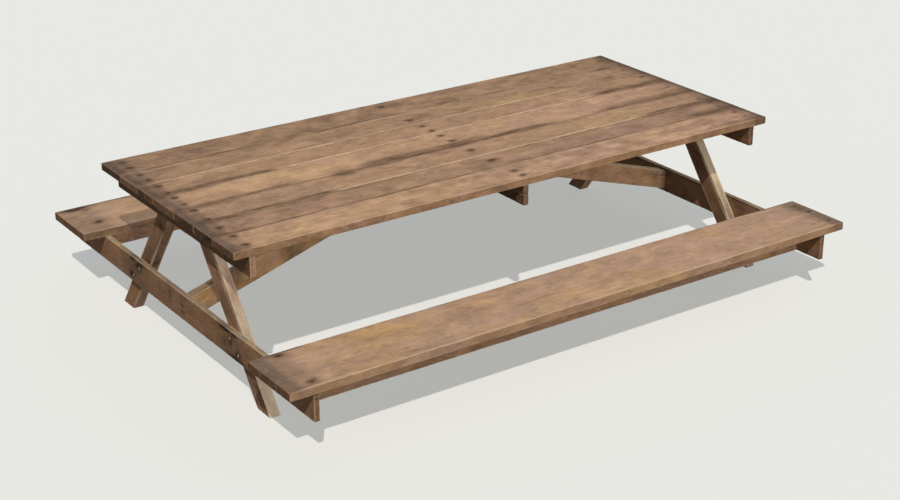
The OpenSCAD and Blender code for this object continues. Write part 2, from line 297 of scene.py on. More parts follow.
# %% Read the fastener heads
def mesh_points(thing):
    """Every vertex of an object's mesh as one array."""
    flat = np.empty(len(thing.data.vertices) * 3)
    thing.data.vertices.foreach_get("co", flat)
    return flat.reshape(-1, 3)


def head_places(node, axis, tolerance=0.3 * MM, reach=16 * MM):
    """Middles of a node's heads: its outermost points along an axis, on either side of the
    table, are grouped by nearness and averaged."""
    points = mesh_points(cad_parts[node])
    rims = points[np.abs(points[:, axis]) > np.abs(points[:, axis]).max() - tolerance]
    near = np.linalg.norm(rims[:, None] - rims[None], axis=2) < reach
    middles = (near @ rims) / near.sum(axis=1, keepdims=True)
    return np.unique(np.round(middles, 4), axis=0)


heads = {
    "top_nails": head_places("top_nails", 2),
    "bench_nails": head_places("bench_nails", 2),
    "rail_screws": head_places("rail_screws", 0),
    "frame_bolts": head_places("frame_bolts", 0, tolerance=1.0 * MM),
}
print({name: len(places) for name, places in heads.items()})

# %% [markdown]
# ## Smooth random values
#
# Old boards are never quite even: their edges wander, their faces swell and their colour drifts.
# Blender has noise for materials, but a mesh needs it in numbers. Value noise does it: random
# values sit on a lattice, and the points between are blended smoothly.

# %% Value noise
LATTICE_VALUES = 4096
LATTICE_PRIMES = np.array([73856093, 19349663, 83492791])
FRACTAL_SPAN = 1.5


def smooth_step(value, low, high):
    """0 below low, 1 above high, and 3t^2 - 2t^3 in between."""
    share = np.clip((value - low) / (high - low), 0, 1)
    return share * share * (3 - 2 * share)


def smooth_noise(points, cells, seed):
    """Noise from -1 to 1. Each point's lattice cell is found by dividing by the cell sizes; the
    eight values at its corners are blended with 3t^2 - 2t^3 along each axis."""
    scaled = points / np.array(cells)
    base = np.floor(scaled).astype(np.int64)
    share = scaled - base
    share = share * share * (3 - 2 * share)
    values = np.random.default_rng(seed).uniform(-1, 1, LATTICE_VALUES)
    total = np.zeros(len(points))
    for corner in product((0, 1), repeat=3):
        spot = np.abs((base + corner) * LATTICE_PRIMES)
        index = (spot[:, 0] ^ spot[:, 1] ^ spot[:, 2]) % LATTICE_VALUES
        weight = np.where(corner, share, 1 - share).prod(axis=1)
        total += values[index] * weight
    return total


def fractal_noise(points, cells, seed, octaves=3):
    """Several sizes of smooth noise on top of each other, each half as large and half as strong.
    They seldom peak together, so the sum is divided by less than all their strengths."""
    layers = [smooth_noise(points, np.array(cells) / 2 ** k, seed + k) / 2 ** k
              for k in range(octaves)]
    return sum(layers) / FRACTAL_SPAN


print(f"noise from {LATTICE_VALUES} random values")

# %% [markdown]
# ## A sawn board
#
# Every wooden piece of the table is a sawn board. A cube with a bevel would give its outline, but
# its edges would be perfectly even. Here the board's skin is a lattice: cuts along its length,
# width and thickness, closer together where the arris is round, round each nail and along each
# split. One formula then moves all lattice points at once, first to the rounded, worn outline and
# then inwards by the relief of the grain, the dips round the nails and the splits at the ends.
# Nothing moves outwards, so a board never grows into its neighbour.

# %% The lattice on a board's skin
EDGE_CUTS = np.array([0.0, 0.9, 2.1, 3.6, 6.5]) * MM
NAIL_CUTS = np.array([-9.5, -6.8, -5.4, -2.7, 2.7, 5.4, 6.8, 9.5]) * MM
SPLIT_CUTS = np.array([-2.2, -0.8, 0.0, 0.8, 2.2]) * MM
LEAST_CUT = 0.6 * MM
CLEAR_SHARE = 0.35
TRIAL_SIZES = (0.3, 0.1, 0.04)
TRIAL_STEP = 0.01


def cut_places(length, step, fine=()):
    """Places of the cuts from 0 to length: evenly spaced, fine at both ends where the arris is
    round, and at the extra places asked for. Even cuts that come nearer to a fine one than a
    share of their step are left out."""
    ends = np.concatenate([EDGE_CUTS, length - EDGE_CUTS])
    extra = np.asarray(fine, float)
    inside = extra[(extra > EDGE_CUTS[-1]) & (extra < length - EDGE_CUTS[-1])]
    close = np.unique(np.round(inside, 6))
    close = close[np.diff(close, prepend=-1.0) > LEAST_CUT]
    exact = np.concatenate([ends, close])
    even = np.linspace(0, length, max(3, round(length / step)) + 1)
    even = even[np.abs(even[:, None] - exact[None]).min(axis=1) > CLEAR_SHARE * step]
    return np.sort(np.concatenate([exact, even]))


def box_skin(along, across, through):
    """Lattice points on the outside of a box, and the four-sided faces between them. A table of
    numbers gives each outside point its place in the list, so neighbours share their points."""
    shape = (len(along), len(across), len(through))
    outside = np.ones(shape, bool)
    outside[1:-1, 1:-1, 1:-1] = False
    number = np.full(shape, -1)
    number[outside] = np.arange(outside.sum())
    i, j, k = np.nonzero(outside)
    points = np.stack([along[i], across[j], through[k]], axis=1)

    def side(grid, outwards):
        """Each square of one side by its four corners, turned round where it looks inwards."""
        corners = [grid[:-1, :-1], grid[1:, :-1], grid[1:, 1:], grid[:-1, 1:]]
        quads = np.stack(corners, axis=-1).reshape(-1, 4)
        return quads if outwards else quads[:, ::-1]

    faces = np.concatenate([
        side(number[0], False), side(number[-1], True),
        side(number[:, 0], True), side(number[:, -1], False),
        side(number[:, :, 0], False), side(number[:, :, -1], True),
    ])
    return points, faces


trial_points, trial_faces = box_skin(*(cut_places(size, TRIAL_STEP) for size in TRIAL_SIZES))
print(f"trial skin: {len(trial_points)} points, {len(trial_faces)} faces")

# %% [markdown]
# ## How a board lies in the table
#
# A board has its own three directions: along its grain, across its width and through its
# thickness. Boards of the top lie flat, rails and battens stand on edge, and legs and braces
# lean. The ends of leaning boards are cut by level or upright planes, so a board is described by
# its middle, its directions, its two sizes across, and the planes that cut its ends.

# %% Describe the boards
X_AXIS, Y_AXIS, Z_AXIS = np.eye(3)
LEG_WIDTH = 88 * MM
BRACE_WIDTH = 98 * MM


def node_box(node):
    """Lowest and highest corner of a CAD node as arrays."""
    return [np.array(corner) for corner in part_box(node)]


def straight_board(node, grain, width_axis):
    """A board that is cut square at both ends, from its node's box."""
    low, high = node_box(node)
    through = np.cross(grain, width_axis)
    size = high - low
    half = grain * (size @ grain) / 2
    middle = (low + high) / 2
    return {
        "node": node, "middle": middle, "grain": grain, "width_axis": width_axis,
        "depth_axis": through, "width": size @ width_axis, "thick": size @ np.abs(through),
        "starts": [(middle - half, grain)], "ends": [(middle + half, grain)],
    }


def leaning_leg(node):
    """A leg between the ground and the underside of the top. Its lean is the angle at which a
    board of the leg's width just spans the node's box, and both ends are cut level."""
    low, high = node_box(node)
    side = np.sign(low[1] + high[1])
    reach, height = high[1] - low[1], high[2] - low[2]
    lean = math.acos(LEG_WIDTH / math.hypot(reach, height)) - math.atan2(height, reach)
    grain = np.array([0.0, -side * math.sin(lean), math.cos(lean)])
    print(f"{node}: leans {math.degrees(lean):.2f} degrees")
    return {
        "node": node, "middle": (low + high) / 2, "grain": grain,
        "width_axis": np.cross(X_AXIS, grain), "depth_axis": X_AXIS,
        "width": LEG_WIDTH, "thick": high[0] - low[0],
        "starts": [(low, Z_AXIS)], "ends": [(high, Z_AXIS)],
    }


def rising_brace(node):
    """A brace from the seat rail up to the middle batten. Its lower edge runs from the node's
    lowest corner to the batten's lower edge. Both ends are cut plumb, the upper one level too."""
    low, high = node_box(node)
    end = np.sign(low[0] + high[0])
    outer, inner = (high[0], low[0]) if end > 0 else (low[0], high[0])
    run = abs(outer - inner)
    rise = node_box("batten_middle")[0][2] - low[2]
    slope = math.atan2(rise, run)
    grain = np.array([-end * math.cos(slope), 0.0, math.sin(slope)])
    width_axis = np.cross(Y_AXIS, grain)
    lower_edge = np.array([outer, (low[1] + high[1]) / 2, low[2]])
    up = width_axis * np.sign(width_axis[2])
    print(f"{node}: rises {math.degrees(slope):.2f} degrees")
    return {
        "node": node, "middle": lower_edge + grain * run / 2 + up * BRACE_WIDTH / 2,
        "grain": grain, "width_axis": width_axis, "depth_axis": Y_AXIS,
        "width": BRACE_WIDTH, "thick": high[1] - low[1],
        "starts": [(np.array([outer, 0.0, 0.0]), X_AXIS)],
        "ends": [(np.array([inner, 0.0, 0.0]), X_AXIS), (high, Z_AXIS)],
    }


TOP_BOARDS = [f"top_board_{number}" for number in range(1, 8)]
boards = {}
for name in (*TOP_BOARDS, "bench_front", "bench_rear"):
    boards[name] = straight_board(name, X_AXIS, Y_AXIS)
for name in ("bench_stiffener_front", "bench_stiffener_rear"):
    boards[name] = straight_board(name, X_AXIS, Z_AXIS)
for name in ("batten_left", "batten_middle", "batten_right", "seat_rail_left", "seat_rail_right"):
    boards[name] = straight_board(name, Y_AXIS, Z_AXIS)
for name in ("leg_left_front", "leg_left_rear", "leg_right_front", "leg_right_rear"):
    boards[name] = leaning_leg(name)
for name in ("brace_left", "brace_right"):
    boards[name] = rising_brace(name)
print(f"{len(boards)} boards described")

# %% [markdown]
# ## From lattice to worn board
#
# The rounding works like this: each point is pulled back to a smaller box, inset by the arris
# radius, and pushed out again by that radius along the line between the two places. On a flat
# face nothing changes, and along an edge the points fall on a quarter circle. The radius itself
# wanders along the board, because knees, shoes and hands wear some stretches more than others.

# %% Shape one board
# The round arris: its radius, and how far and over which stretches it wanders.
ARRIS = 2.6 * MM
ARRIS_WEAR = 1.7 * MM
WEAR_RANGE = (-0.6, 1.0)
WEAR_CELLS = (0.07, 0.6, 0.6)
NICK_CELLS = (0.018, 0.6, 0.6)
# The relief of the flat faces: depth and size of the fine grain and of the broad swellings.
GRAIN_RELIEF = 0.22 * MM
GRAIN_CELLS = (0.35, 0.012, 0.012)
BROAD_RELIEF = 0.30 * MM
BROAD_CELLS = (0.5, 0.09, 0.09)
# The dips round the nails. The benches have none near their right ends, where no heads show.
NAIL_DIP = 1.5 * MM
DIP_FLOOR = 6.2 * MM
DIP_EDGE = 8.8 * MM
CALM_REACH = 30 * MM
CALM_LEAST = 0.3
NAIL_PROUD = 1 * MM
FACE_GAP = 2 * MM
LAST_BENCH_DIP = 1.3
# The splits at the ends: where they start, as shares of the width, how long they are, in
# millimetres, and their depth, width and taper.
SPLIT_PLACES = (-0.42, 0.42)
SPLIT_LENGTHS = (40, 150)
SPLIT_DEPTH = 5.0 * MM
SPLIT_HALF_WIDTH = 1.6 * MM
SPLIT_TAPER = 0.7
SPLIT_WANDER = 1.5 * MM
WANDER_CELLS = (0.03, 1, 1)
WANDER_REACH = 7 * MM
# How far a point looks out of a wide face to count as on it, or sideways to be off it.
FACE_FACING = 0.5
SIDE_FACING = 0.9


def end_reach(board, planes, across, through, nearest):
    """How far along the grain the cutting planes lie, for lines at given places across and
    through the board: the plane's distance divided by how fast the grain runs towards it."""
    reaches = [
        ((point - board["middle"]) @ normal
         - across * (board["width_axis"] @ normal)
         - through * (board["depth_axis"] @ normal)) / (board["grain"] @ normal)
        for point, normal in planes
    ]
    return nearest(reaches, axis=0)


def ends_of(board, across, through):
    """Start and end of the board along its grain at places across and through it."""
    return (end_reach(board, board["starts"], across, through, np.max),
            end_reach(board, board["ends"], across, through, np.min))


def board_axes(board):
    """The board's directions along, across and through it, as the rows of a table."""
    return np.stack([board["grain"], board["width_axis"], board["depth_axis"]])


def local_places(board, places):
    """World points as distances along, across and through the board from its middle."""
    return (np.atleast_2d(places) - board["middle"]) @ board_axes(board).T


def heads_on(board, kinds, proud):
    """Heads of some kinds that sit on this board's wide faces, or stand a little proud of them,
    in the board's own directions."""
    low, high = node_box(board["node"])
    places = np.concatenate([heads[kind] for kind in kinds])
    inside = np.all((places > low - proud) & (places < high + proud), axis=1)
    found = local_places(board, places[inside])
    return found[np.abs(np.abs(found[:, 2]) - board["thick"] / 2) < FACE_GAP + proud]


def rounded(points, half, radius):
    """Pulls each point to the box inset by the radius and pushes it out again by the radius."""
    core = np.clip(points, radius[:, None] - half, half - radius[:, None])
    outward = points - core
    outward = outward / np.linalg.norm(outward, axis=1, keepdims=True)
    return core + outward * radius[:, None], outward


def split_lines(board, seed, count):
    """Splits that run in from the board's ends: which end, the place across, and the length."""
    draw = np.random.default_rng(seed)
    return [(draw.choice([-1, 1]), draw.uniform(*SPLIT_PLACES) * board["width"],
             draw.uniform(*SPLIT_LENGTHS) * MM) for _ in range(count)]


def board_lattice(half, step, cross_step, dips, lines):
    """Points of a board's skin, measured from its middle, and its faces, with fine cuts round
    its nails and along its splits."""
    fine_along = np.add.outer(dips[:, 0] + half[0], NAIL_CUTS).ravel()
    fine_across = np.concatenate([
        np.add.outer(dips[:, 1] + half[1], NAIL_CUTS).ravel(),
        np.add.outer([place + half[1] for _, place, _ in lines], SPLIT_CUTS).ravel(),
    ])
    points, faces = box_skin(
        cut_places(2 * half[0], step, fine_along),
        cut_places(2 * half[1], cross_step, fine_across),
        cut_places(2 * half[2], cross_step),
    )
    return points - half, faces


def arris_radius(still, seed):
    """Radius of the nearest arris, which long and short noise along it makes wander."""
    edge_spot = np.stack([still[:, 0], np.sign(still[:, 1]), np.sign(still[:, 2])], axis=1)
    worn = smooth_noise(edge_spot, WEAR_CELLS, seed) + smooth_noise(edge_spot, NICK_CELLS, seed + 5)
    return ARRIS + ARRIS_WEAR * np.clip(worn, *WEAR_RANGE)


def weathered_depth(still, outward, dips, seed):
    """How deep the weather has eaten: the grain and the broad swellings, calmer towards a nail,
    and round each nail a dip with a flat floor and a smooth edge."""
    depth = GRAIN_RELIEF * (1 + fractal_noise(still, GRAIN_CELLS, seed + 11))
    depth += BROAD_RELIEF * (1 + smooth_noise(still, BROAD_CELLS, seed + 17))
    for place in dips:
        gap = np.hypot(*(still[:, :2] - place[:2]).T)
        same_face = outward[:, 2] * np.sign(place[2]) > FACE_FACING
        calmed = depth * np.clip(gap / CALM_REACH, CALM_LEAST, 1)
        dip = NAIL_DIP * (1 - smooth_step(gap, DIP_FLOOR, DIP_EDGE))
        depth = np.where(same_face, calmed + dip, depth)
    return depth


def split_wood(still, half, lines, seed):
    """What the splits do to each point: how far it moves sideways with their wandering, and how
    deep it lies in one, from 0 to 1. A split is a groove that tapers along its length."""
    sideways, crack = np.zeros(len(still)), np.zeros(len(still))
    for end, place, reach in lines:
        open_share = np.clip(1 - (half[0] - end * still[:, 0]) / reach, 0, 1)
        bell = np.exp(-((still[:, 1] - place) / WANDER_REACH) ** 2)
        sway = SPLIT_WANDER * smooth_noise(still * [1, 0, 0], WANDER_CELLS, seed + 23)
        sideways += sway * bell * open_share
        groove = np.clip(1 - np.abs(still[:, 1] - place) / SPLIT_HALF_WIDTH, 0, 1)
        crack = np.maximum(crack, groove * open_share ** SPLIT_TAPER)
    return sideways, crack


def shape_board(board, seed, step, cross_step, splits=0):
    """Lattice points of a worn board in the world, its faces, and what the paint needs to know:
    undisturbed places along, across and through the board, and the outward directions."""
    dips = heads_on(board, ("top_nails", "bench_nails", "rail_screws"), NAIL_PROUD)
    if board["node"].startswith("bench"):
        dips = dips[dips[:, 0] < LAST_BENCH_DIP]
    lines = split_lines(board, seed, splits)
    corners = np.array(list(product((-1, 1), repeat=2))) * [board["width"] / 2, board["thick"] / 2]
    starts, ends = ends_of(board, *corners.T)
    length = (ends - starts).mean()
    half = np.array([length, board["width"], board["thick"]]) / 2
    still, faces = board_lattice(half, step, cross_step, dips, lines)

    shaped, outward = rounded(still, half, arris_radius(still, seed))
    depth = weathered_depth(still, outward, dips, seed)
    sideways, crack = split_wood(still, half, lines, seed)
    shaped[:, 1] += sideways
    depth += SPLIT_DEPTH * crack * (np.abs(outward[:, 1]) < SIDE_FACING)
    shaped -= outward * depth[:, None]

    start, end = ends_of(board, shaped[:, 1], shaped[:, 2])
    along = start + (shaped[:, 0] + half[0]) / length * (end - start)
    world_points = (board["middle"] + along[:, None] * board["grain"]
                    + shaped[:, 1:2] * board["width_axis"] + shaped[:, 2:3] * board["depth_axis"])
    facts = {"still": still, "half": half, "outward": outward, "crack": crack,
             "world": world_points, "dips": dips}
    return world_points, faces, facts


TRIAL_SEED = 3
trial_facts = shape_board(boards["leg_left_front"], TRIAL_SEED, step=10 * MM, cross_step=6 * MM)[2]
trial_world = trial_facts["world"]
print(f"trial leg: {len(trial_world)} points, low {trial_world.min(0).round(3)}, "
      f"high {trial_world.max(0).round(3)}")

# %% [markdown]
# ## What the weather wrote on each board
#
# The photograph shows dark smoky streaks along the seams, dark bands at the ends of the top, dark rings round
# the nails, pale worn arrises and a few yellow or rosy patches. A painter would mask these by hand. Here each
# one is a line in a list, in millimetres on the table: a streak has two ends, a place across, a half width
# and a strength. Some lists also hold painted light and shade, among them pale painted highlights along front
# arrises, as the notes at each say. The sum at every lattice point is stored with the mesh as attributes, and
# the materials read them.

# %% Streaks and patches of the top
TOP_STREAKS = [
    # x from, x to, y, half width, strength
    (-1500, -880, 112, 29, 0.82), (1030, 1480, 114, 34, 0.84), (1040, 1130, 108, 26, 0.45),
    (-1500, -900, -100, 25, 0.68), (-700, 590, -110, 27, 0.90), (-520, 170, -78, 28, 0.72),
    (170, 560, -90, 16, 0.40), (850, 1480, -112, 22, 0.85), (900, 1450, -82, 30, 0.42),
    (-1480, -790, -281, 16, 0.88), (-1480, -820, -303, 11, 0.28), (-700, 970, -306, 6, 0.24),
    (1010, 1480, -278, 18, 0.82), (1000, 1480, -302, 17, 0.58),
    (-1480, -400, -457, 8, 0.80), (-400, 1200, -451, 8, 0.45), (-1480, -1300, -448, 14, 0.50),
    (1200, 1480, -432, 33, 0.88), (-1400, -710, 449, 10, 0.70), (-460, 40, 448, 11, 0.75),
    (260, 330, 455, 16, 0.60), (520, 770, 450, 9, 0.45), (1270, 1440, 444, 14, 0.85),
    (1150, 1400, -618, 24, 0.40), (1390, 1490, -622, 30, 0.55), (-1490, 1490, -630, 8, 0.14),
    (-800, 950, 90, 6, 0.16),
]
TOP_PATCHES = [
    # x, y, reach along, reach across, warmth (- rosy grey, + yellow), change of tone
    (-1040, 30, 230, 60, 0.80, 0.06), (-640, 5, 120, 40, 0.30, 0.02), (-60, 20, 420, 50, 0.10, 0.0),
    (590, 320, 190, 60, 0.80, 0.02), (-1020, -560, 420, 80, 0.45, 0.04), (760, -230, 330, 70, 0.45, 0.02),
    (300, 0, 160, 50, 0.20, 0.02), (-1200, -200, 330, 60, -0.40, -0.03),
    (-1150, -370, 330, 60, -0.40, -0.04), (620, -410, 420, 60, -0.80, -0.05),
    (300, -560, 380, 70, -0.40, 0.02), (1080, 20, 260, 60, -0.40, 0.03),
    (-330, 600, 60, 60, -0.5, -0.10), (800, 380, 300, 60, -0.3, -0.03), (560, 380, 200, 30, 0.3, -0.10),
    (-1100, 530, 260, 60, -0.2, -0.02), (200, -530, 60, 50, -0.3, 0.10), (530, -560, 70, 50, -0.5, -0.08),
    (780, -540, 60, 40, -0.1, 0.09), (930, -550, 60, 60, 0.0, 0.05), (-110, -510, 60, 40, 0.2, -0.10),
    (-320, -560, 25, 70, -0.3, -0.09), (-550, -540, 120, 50, 0.1, 0.05), (-1380, -540, 26, 60, 0.3, -0.06),
    (1080, -560, 60, 50, -0.2, -0.06), (-180, 540, 50, 22, 0.0, -0.11), (850, 520, 50, 20, 0.0, -0.11),
    (160, 560, 80, 50, -0.3, 0.05), (-1080, 580, 80, 50, -0.3, -0.05), (-1250, 350, 130, 50, 0.1, 0.05),
    (1380, -560, 130, 80, 0.0, -0.12), (1390, 300, 110, 110, 0.0, -0.08), (300, 165, 260, 60, -0.1, -0.05),
    (-890, -135, 40, 30, -0.6, -0.11), (-570, -390, 40, 30, -0.2, -0.09), (260, -410, 40, 20, -0.3, -0.09),
]
# Pale lines along front arrises that face the light: partly wear, partly painted highlight.
WORN_AND_HIGHLIT_LINES = [
    # x from, x to, y, half width, strength; the last one is the front bench's edge
    (-1410, 1010, 267, 5, 0.74), (-840, 970, 107, 5, 0.86), (-760, 970, -287, 5, 0.82),
    (-1400, -1130, 431, 5, 0.5), (-330, 40, 431, 5, 0.5), (600, 900, -110, 4, 0.3),
    (-1480, 1490, -643, 5, 0.15), (-700, 300, -462, 3, 0.15), (-1500, 1500, -1165, 4, 0.55),
]
END_BANDS = {
    # board: which end, from, to, strength; the band grows between the two places
    "top_board": [(-1, 1385, 1412, 0.50), (-1, 1440, 1465, 0.42), (1, 1404, 1436, 0.52),
                  (1, 1452, 1474, 0.38), (1, 1474, 1486, 0.36)],
    "bench_front": [(-1, 1340, 1440, 0.42), (-1, 1460, 1500, 0.43), (1, 1390, 1470, 0.30),
                    (1, 1450, 1505, 0.46)],
    "bench_rear": [(-1, 1330, 1440, 0.40), (1, 1400, 1480, 0.40)],
}
SEAM_CORNERS = [
    # y, strength: pale corners of the top's left end, at the joints between its boards
    (188, 0.20), (108, 0.28), (-100, 0.25), (-292, 0.50), (-460, 0.30),
]
print(f"{len(TOP_STREAKS)} streaks and {len(TOP_PATCHES)} patches on the top")

# %% Streaks, patches and marks of the other boards
BENCH_STREAKS = [
    # x from, x to, y, half width, strength
    (-1550, 1550, -821, 6, 0.45), (-1460, -1280, -826, 11, 0.80), (1250, 1550, -823, 9, 0.60),
    (-1500, 1500, 1164, 5, 0.40), (-1500, -1340, 1145, 12, 0.60), (-1500, -1080, 1156, 12, 0.50),
]
BENCH_PATCHES = [
    # x, y, reach along, reach across, warmth (- rosy grey, + yellow), change of tone
    (-1000, -885, 130, 60, 0.90, 0.02), (-830, -915, 110, 55, 0.85, 0.0),
    (-1060, -1000, 90, 55, 0.65, 0.02), (-430, -905, 90, 40, 0.60, 0.06),
    (220, -890, 80, 40, 0.60, 0.05), (910, -895, 80, 45, 0.55, 0.04), (-10, -1045, 70, 40, 0.35, 0.08),
    (-1400, -980, 90, 110, -0.50, 0.02), (-1150, -840, 70, 30, -0.45, -0.04),
    (520, -930, 100, 50, -0.60, 0.03), (1050, -1110, 60, 40, -0.80, -0.04),
    (-50, -850, 60, 25, -0.70, -0.03), (-215, -862, 60, 25, 0.20, -0.09),
    (-600, -1000, 150, 50, -0.10, -0.08), (-360, -1060, 150, 45, -0.30, -0.07),
    (-200, -940, 90, 40, -0.40, -0.03), (800, -1040, 160, 60, -0.30, 0.0), (-900, 1000, 200, 70, 0.30, 0.0),
    # The last patch is painted light: it warms the rear bench where the top's shadow falls.
    (-1100, 880, 260, 60, 0.40, -0.04),
]
MARKS = {
    # board: x, y, z, reach along x, y and z, strength
    "seat_rail_left": [
        (-1432, 520, 304, 14, 36, 11, 1.30), (-1432, 445, 299, 14, 46, 9, 1.60),
        (-1432, 463, 275, 12, 20, 16, 1.30), (-1432, 484, 286, 12, 24, 14, 1.00),
        (-1432, 540, 222, 12, 28, 22, 1.10), (-1432, 560, 210, 12, 14, 12, 1.00),
        (-1432, 505, 256, 12, 44, 36, 0.45), (-1432, 136, 262, 12, 17, 44, 0.45),
        (-1432, 16, 290, 12, 12, 14, 0.50), (-1432, 12, 258, 12, 14, 8, 0.90),
        (-1432, 12, 224, 12, 12, 11, 0.75), (-1432, -400, 304, 14, 56, 10, 1.60),
        (-1432, -482, 302, 14, 28, 8, 1.20), (-1432, -448, 266, 12, 14, 28, 1.00),
        (-1432, -395, 240, 12, 36, 24, 0.45), (-1432, -495, 188, 14, 76, 17, 1.60),
        # The last mark is painted shade along the rail's lower edge.
        (-1432, -507, 216, 12, 21, 18, 1.20), (-1432, 0, 184, 9, 1100, 5, 0.35),
    ],
    "leg_left_front": [(-1406, -634, 112, 9, 26, 18, 0.70), (-1406, -330, 520, 9, 20, 26, 0.35)],
    "leg_left_rear": [
        (-1406, 234, 558, 9, 20, 22, 0.80), (-1406, 168, 574, 9, 16, 14, 0.60),
        (-1385, 400, 322, 30, 40, 12, 0.90),
    ],
    "bench_front": [
        (-1419, -836, 354, 34, 9, 6, 0.70), (1505, -878, 354, 15, 12, 6, 0.90),
        (1505, -915, 354, 15, 10, 6, 0.70), (1505, -973, 354, 18, 14, 6, 0.95),
        (1505, -1110, 354, 15, 16, 6, 0.85), (156, -1145, 354, 22, 9, 6, 0.45),
        (1490, -900, 354, 40, 70, 6, 0.35),
    ],
    "bench_rear": [
        (-1421, 926, 354, 25, 17, 6, 1.25), (-1495, 1039, 354, 16, 15, 6, 0.30),
        (-1455, 1146, 354, 70, 24, 6, 1.30), (-1405, 1112, 354, 24, 14, 6, 0.75),
    ],
}
SHADES = {
    # board: from x, y, z, to x, y, z, fade, change of tone as a factor, grey share
    "seat_rail_left": [
        (-1427, -1200, 306, -1400, 1200, 312, 3, 0.76, 0.12),
        (-1427, 40, 306, -1400, 400, 312, 3, 0.74, 0.40), (-1427, 400, 306, -1400, 570, 312, 3, 0.56, 0.60),
        (-1427, -400, 306, -1400, -230, 312, 3, 0.72, 0.35),
        (-1440, 350, 170, -1425, 620, 306, 60, 0.96, 0.30),
        (-1440, -520, 170, -1425, -360, 306, 50, 0.96, 0.30),
    ],
    "seat_rail_right": [
        (1400, -1200, 306, 1440, 1200, 312, 3, 0.62, 0.20),
        # The next box is painted light on the rail's inner face in front of the leg, which lies in shade.
        (1400, -1200, 170, 1410, -640, 300, 22, 1.24, 0.0),
    ],
    # Painted shade on the leg's inner face, where the sun lights it.
    "leg_right_front": [(1345, -800, -10, 1355, 0, 760, 6, 0.73, 0.0)],
    "leg_left_rear": [
        (-1410, 100, 330, -1360, 700, 520, 60, 0.80, 0.0), (-1410, 500, -10, -1360, 900, 130, 50, 1.15, 0.0),
    ],
    "leg_left_front": [
        # The second box is painted light on the upper outer face, where the top's shadow falls.
        (-1410, -500, 370, -1400, -200, 450, 40, 0.88, 0.0), (-1410, -400, 480, -1400, 0, 740, 40, 1.25, 0.0),
    ],
    # Painted light where the top's shadow falls on the rear bench.
    "bench_rear": [(-1290, 800, 340, 1600, 935, 360, 25, 1.20, 0.0)],
    "batten_middle": [(-20, -700, 600, 30, 700, 740, 20, 1.0, 0.70)],
    "brace_left": [
        # The first box is painted light on the brace's upper part, where the top's shadow falls.
        (-1110, -60, 340, -960, 10, 430, 40, 1.55, 0.0), (-890, -60, 360, -830, 10, 460, 40, 0.80, 0.0),
    ],
    "brace_right": [
        (1330, -60, 100, 1420, 10, 420, 30, 0.86, 0.10), (1386, -60, 100, 1420, 10, 420, 14, 0.60, 0.30),
    ],
    "top_board_7": [(1440, -660, 700, 1500, -640, 756, 30, 0.70, 0.30)],
    "bench_front": [(1490, -1180, 300, 1560, -1150, 350, 25, 0.76, 0.25)],
}
print(f"{sum(map(len, MARKS.values()))} marks and {sum(map(len, SHADES.values()))} shades")

# %% [markdown]
# ## Each board's own tone
#
# No two boards of an old table have the same colour: each came from another tree and met other weather. One
# material per board would show that too, but twenty materials are hard to keep in step. A tone is one number
# that multiplies the colour, 1 being the material's own, so it is stored with the mesh, and boards that are
# alike share their material. The tone also carries painted light and shade where the lists below say so.

# %% Tones of boards, faces and ends
# A change of tone for faces that look to the front, and for each board as a whole.
FRONT_TONES = {"top_board_7": 0.84, "bench_rear": 0.58, "bench_stiffener_rear": 0.78}
BOARD_TONES = {
    "top_board_1": 0.76, "top_board_2": 0.86, "top_board_3": 0.97, "top_board_4": 1.14,
    "top_board_5": 0.97, "top_board_6": 0.86, "top_board_7": 1.10, "batten_middle": 0.82,
    "brace_left": 0.91, "brace_right": 1.13,
}
# Rosy grey that grows to the right between two places, and yellow warmth all over.
ROSY_GREY_RISE = (-300, 900)
ROSY_GREY_TO_RIGHT = {"top_board_4": 0.45, "top_board_6": 0.30, "top_board_7": 0.33, "bench_front": 0.34}
YELLOWED = {"brace_left": 0.28, "brace_right": 0.15, "leg_left_rear": 0.10, "batten_middle": 0.20,
            "batten_left": 0.20}
MOTTLE_TURN = (-300, 300)
MOTTLE = {
    # board: blotches of light and dark at the left and at the right end, as a change of tone
    "top_board_1": (0.05, 0.05), "top_board_2": (0.04, 0.08), "top_board_3": (0.06, 0.04),
    "top_board_4": (0.02, 0.09), "top_board_5": (0.05, 0.08), "top_board_6": (0.02, 0.05),
    "top_board_7": (0.30, 0.48), "bench_rear": (0.12, 0.10), "bench_front": (0.04, 0.05),
}
END_TONES = {
    # board: tone of its end grain
    "top_board_1": 0.34, "top_board_2": 1.00, "top_board_3": 0.49, "top_board_4": 0.88,
    "top_board_5": 0.42, "top_board_6": 0.33, "top_board_7": 0.72, "batten_left": 1.75,
    "batten_middle": 0.74, "batten_right": 0.70, "seat_rail_left": 1.00, "seat_rail_right": 0.95,
    "bench_front": 0.70, "bench_rear": 0.72, "bench_stiffener_front": 1.25,
}
NEAR_FACE_LIGHT_AND_SHADE = {
    # front leg: heights in millimetres, and the tone of its near face at each, painted light and shade that
    # evens out the shadows cast on it
    "leg_left_front": ((0, 180, 300, 340, 385, 440, 500, 545, 600),
                       (1.72, 1.68, 1.30, 1.55, 1.50, 1.14, 1.14, 1.46, 1.00)),
    "leg_right_front": ((200, 247, 291, 352, 416, 470, 540),
                        (0.92, 0.82, 1.02, 1.18, 1.62, 1.46, 1.12)),
}
